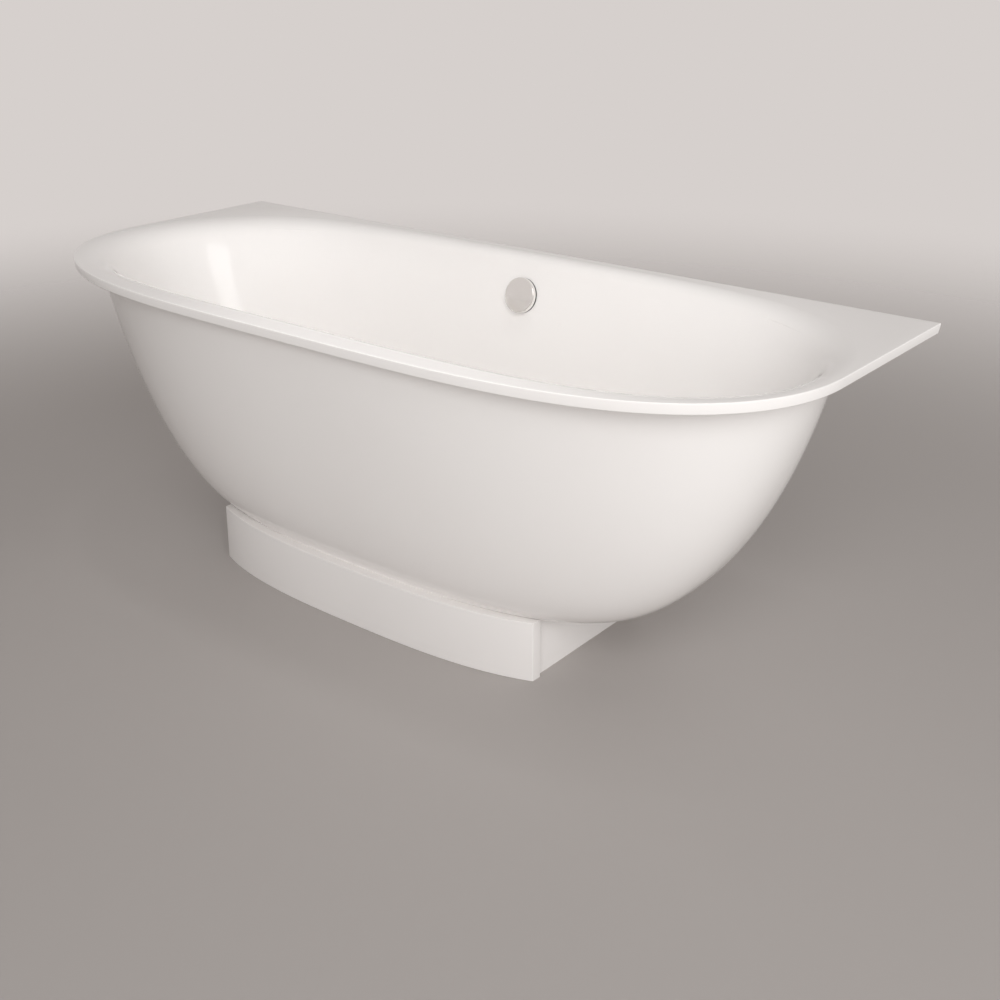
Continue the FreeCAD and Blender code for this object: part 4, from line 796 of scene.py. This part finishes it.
# Floor: a wide sheet of warm grey studio vinyl, even and matt, that fades out into the backdrop a few metres from
# the bath.
points, quads = turned(((0, 0), (1500, 0), (4000, 0), (9000, 0)), 128)
floor = add_piece("studio_floor", points, quads)
vinyl, tree, place = new_material("studio_vinyl")
far = add_node(tree, "ShaderNodeVectorMath", {"operation": "LENGTH"}, {0: place})
fade = add_node(tree, "ShaderNodeMapRange", {
    "interpolation_type": "SMOOTHSTEP", "From Min": 1.4, "From Max": 4.2,
}, {"Value": far.outputs["Value"]})
matt = add_node(tree, "ShaderNodeBsdfPrincipled", {"Base Color": linear("#ADA8A5"), "Roughness": 0.6})
clear = add_node(tree, "ShaderNodeBsdfTransparent")
mix = add_node(tree, "ShaderNodeMixShader", {}, {
    0: fade.outputs["Result"], 1: matt.outputs["BSDF"], 2: clear.outputs["BSDF"],
})
add_node(tree, "ShaderNodeOutputMaterial", {}, {"Surface": mix.outputs["Shader"]})
floor.data.materials.append(vinyl)

# Light: a dim grey surround that shows as pale to the eye and in the gloss. A large soft box stands on the right
# of the camera, a window-like one over it, which is the only one that the gloss shows, and weak fills at the other
# corners. A gridded box hangs over the inside, and a short strip close over the front of the rim.
world = bpy.data.worlds.new("surround")
bpy.context.scene.world = world
world.use_nodes = True
tree = world.node_tree
tree.nodes.clear()
sky = add_node(tree, "ShaderNodeBackground", {"Color": linear("#87827F"), "Strength": 1})
seen = add_node(tree, "ShaderNodeBackground", {"Color": linear("#D6D0CD"), "Strength": 1})
ray = add_node(tree, "ShaderNodeLightPath")
plain = add_node(tree, "ShaderNodeMath", {"operation": "MAXIMUM"}, {
    0: ray.outputs["Is Camera Ray"], 1: ray.outputs["Is Glossy Ray"],
})
pale = add_node(tree, "ShaderNodeMath", {"operation": "MAXIMUM"}, {
    0: plain.outputs["Value"], 1: ray.outputs["Is Transmission Ray"],
})
shown = add_node(tree, "ShaderNodeMixShader", {}, {
    0: pale.outputs["Value"], 1: sky.outputs["Background"], 2: seen.outputs["Background"],
})
add_node(tree, "ShaderNodeOutputWorld", {}, {"Surface": shown.outputs["Shader"]})


def soft_box(name, azimuth, elevation, distance, size, power, aim=(0, 0, 0.4), beam=180):
    """A lamp, wide by high, that faces a point from some way off. Azimuth 0 is in front, 90 on the right; beam is
    the angle that a grid leaves open. Neither the camera nor the gloss shows it."""
    lamp = bpy.data.lights.new(name, "AREA")
    lamp.shape, lamp.energy, lamp.spread = "RECTANGLE", power, math.radians(beam)
    lamp.size, lamp.size_y = size
    holder = bpy.data.objects.new(name, lamp)
    a, e = math.radians(azimuth), math.radians(elevation)
    away = np.array([math.sin(a) * math.cos(e), -math.cos(a) * math.cos(e), math.sin(e)])
    holder.location = (aim + distance * away).tolist()
    holder.rotation_euler = (math.radians(90 - elevation), 0, a)
    holder.visible_camera = holder.visible_glossy = False
    bpy.context.scene.collection.objects.link(holder)
    return holder


soft_box("key", 36, 24, 5.6, (3.8, 3.8), 187)
soft_box("window", 55, 38, 4.5, (1.6, 2.6), 30).visible_glossy = True
soft_box("corner", 223, 17, 5.0, (2.6, 2.6), 38)
soft_box("side_fill", 108, 4, 4.4, (2.0, 2.0), 42)
soft_box("back_fill", 195, 12, 4.6, (2.0, 2.0), 22)
soft_box("overhead", 0, 90, 1.55, (1.42, 0.55), 0.7, (-0.04, 0.03, 0.645), 16)
soft_box("strip", 0, 90, 0.28, (0.9, 0.04), 0.58, (0.18, -0.372, 0.645))

# Camera: stands in front on the right, a little under head height, and looks down on the bath.
TILT, SWING = 18.62, 38.641
lens = bpy.data.cameras.new("camera")
lens.sensor_width, lens.lens, lens.shift_y = 36, 49.34, -0.12
camera = bpy.data.objects.new("camera", lens)
camera.location = (1.7575, -1.9506, 1.3334)
camera.rotation_euler = (math.radians(90 - TILT), 0, math.radians(SWING))
bpy.context.scene.collection.objects.link(camera)
bpy.context.scene.camera = camera
bpy.context.scene.view_settings.view_transform = "Standard"
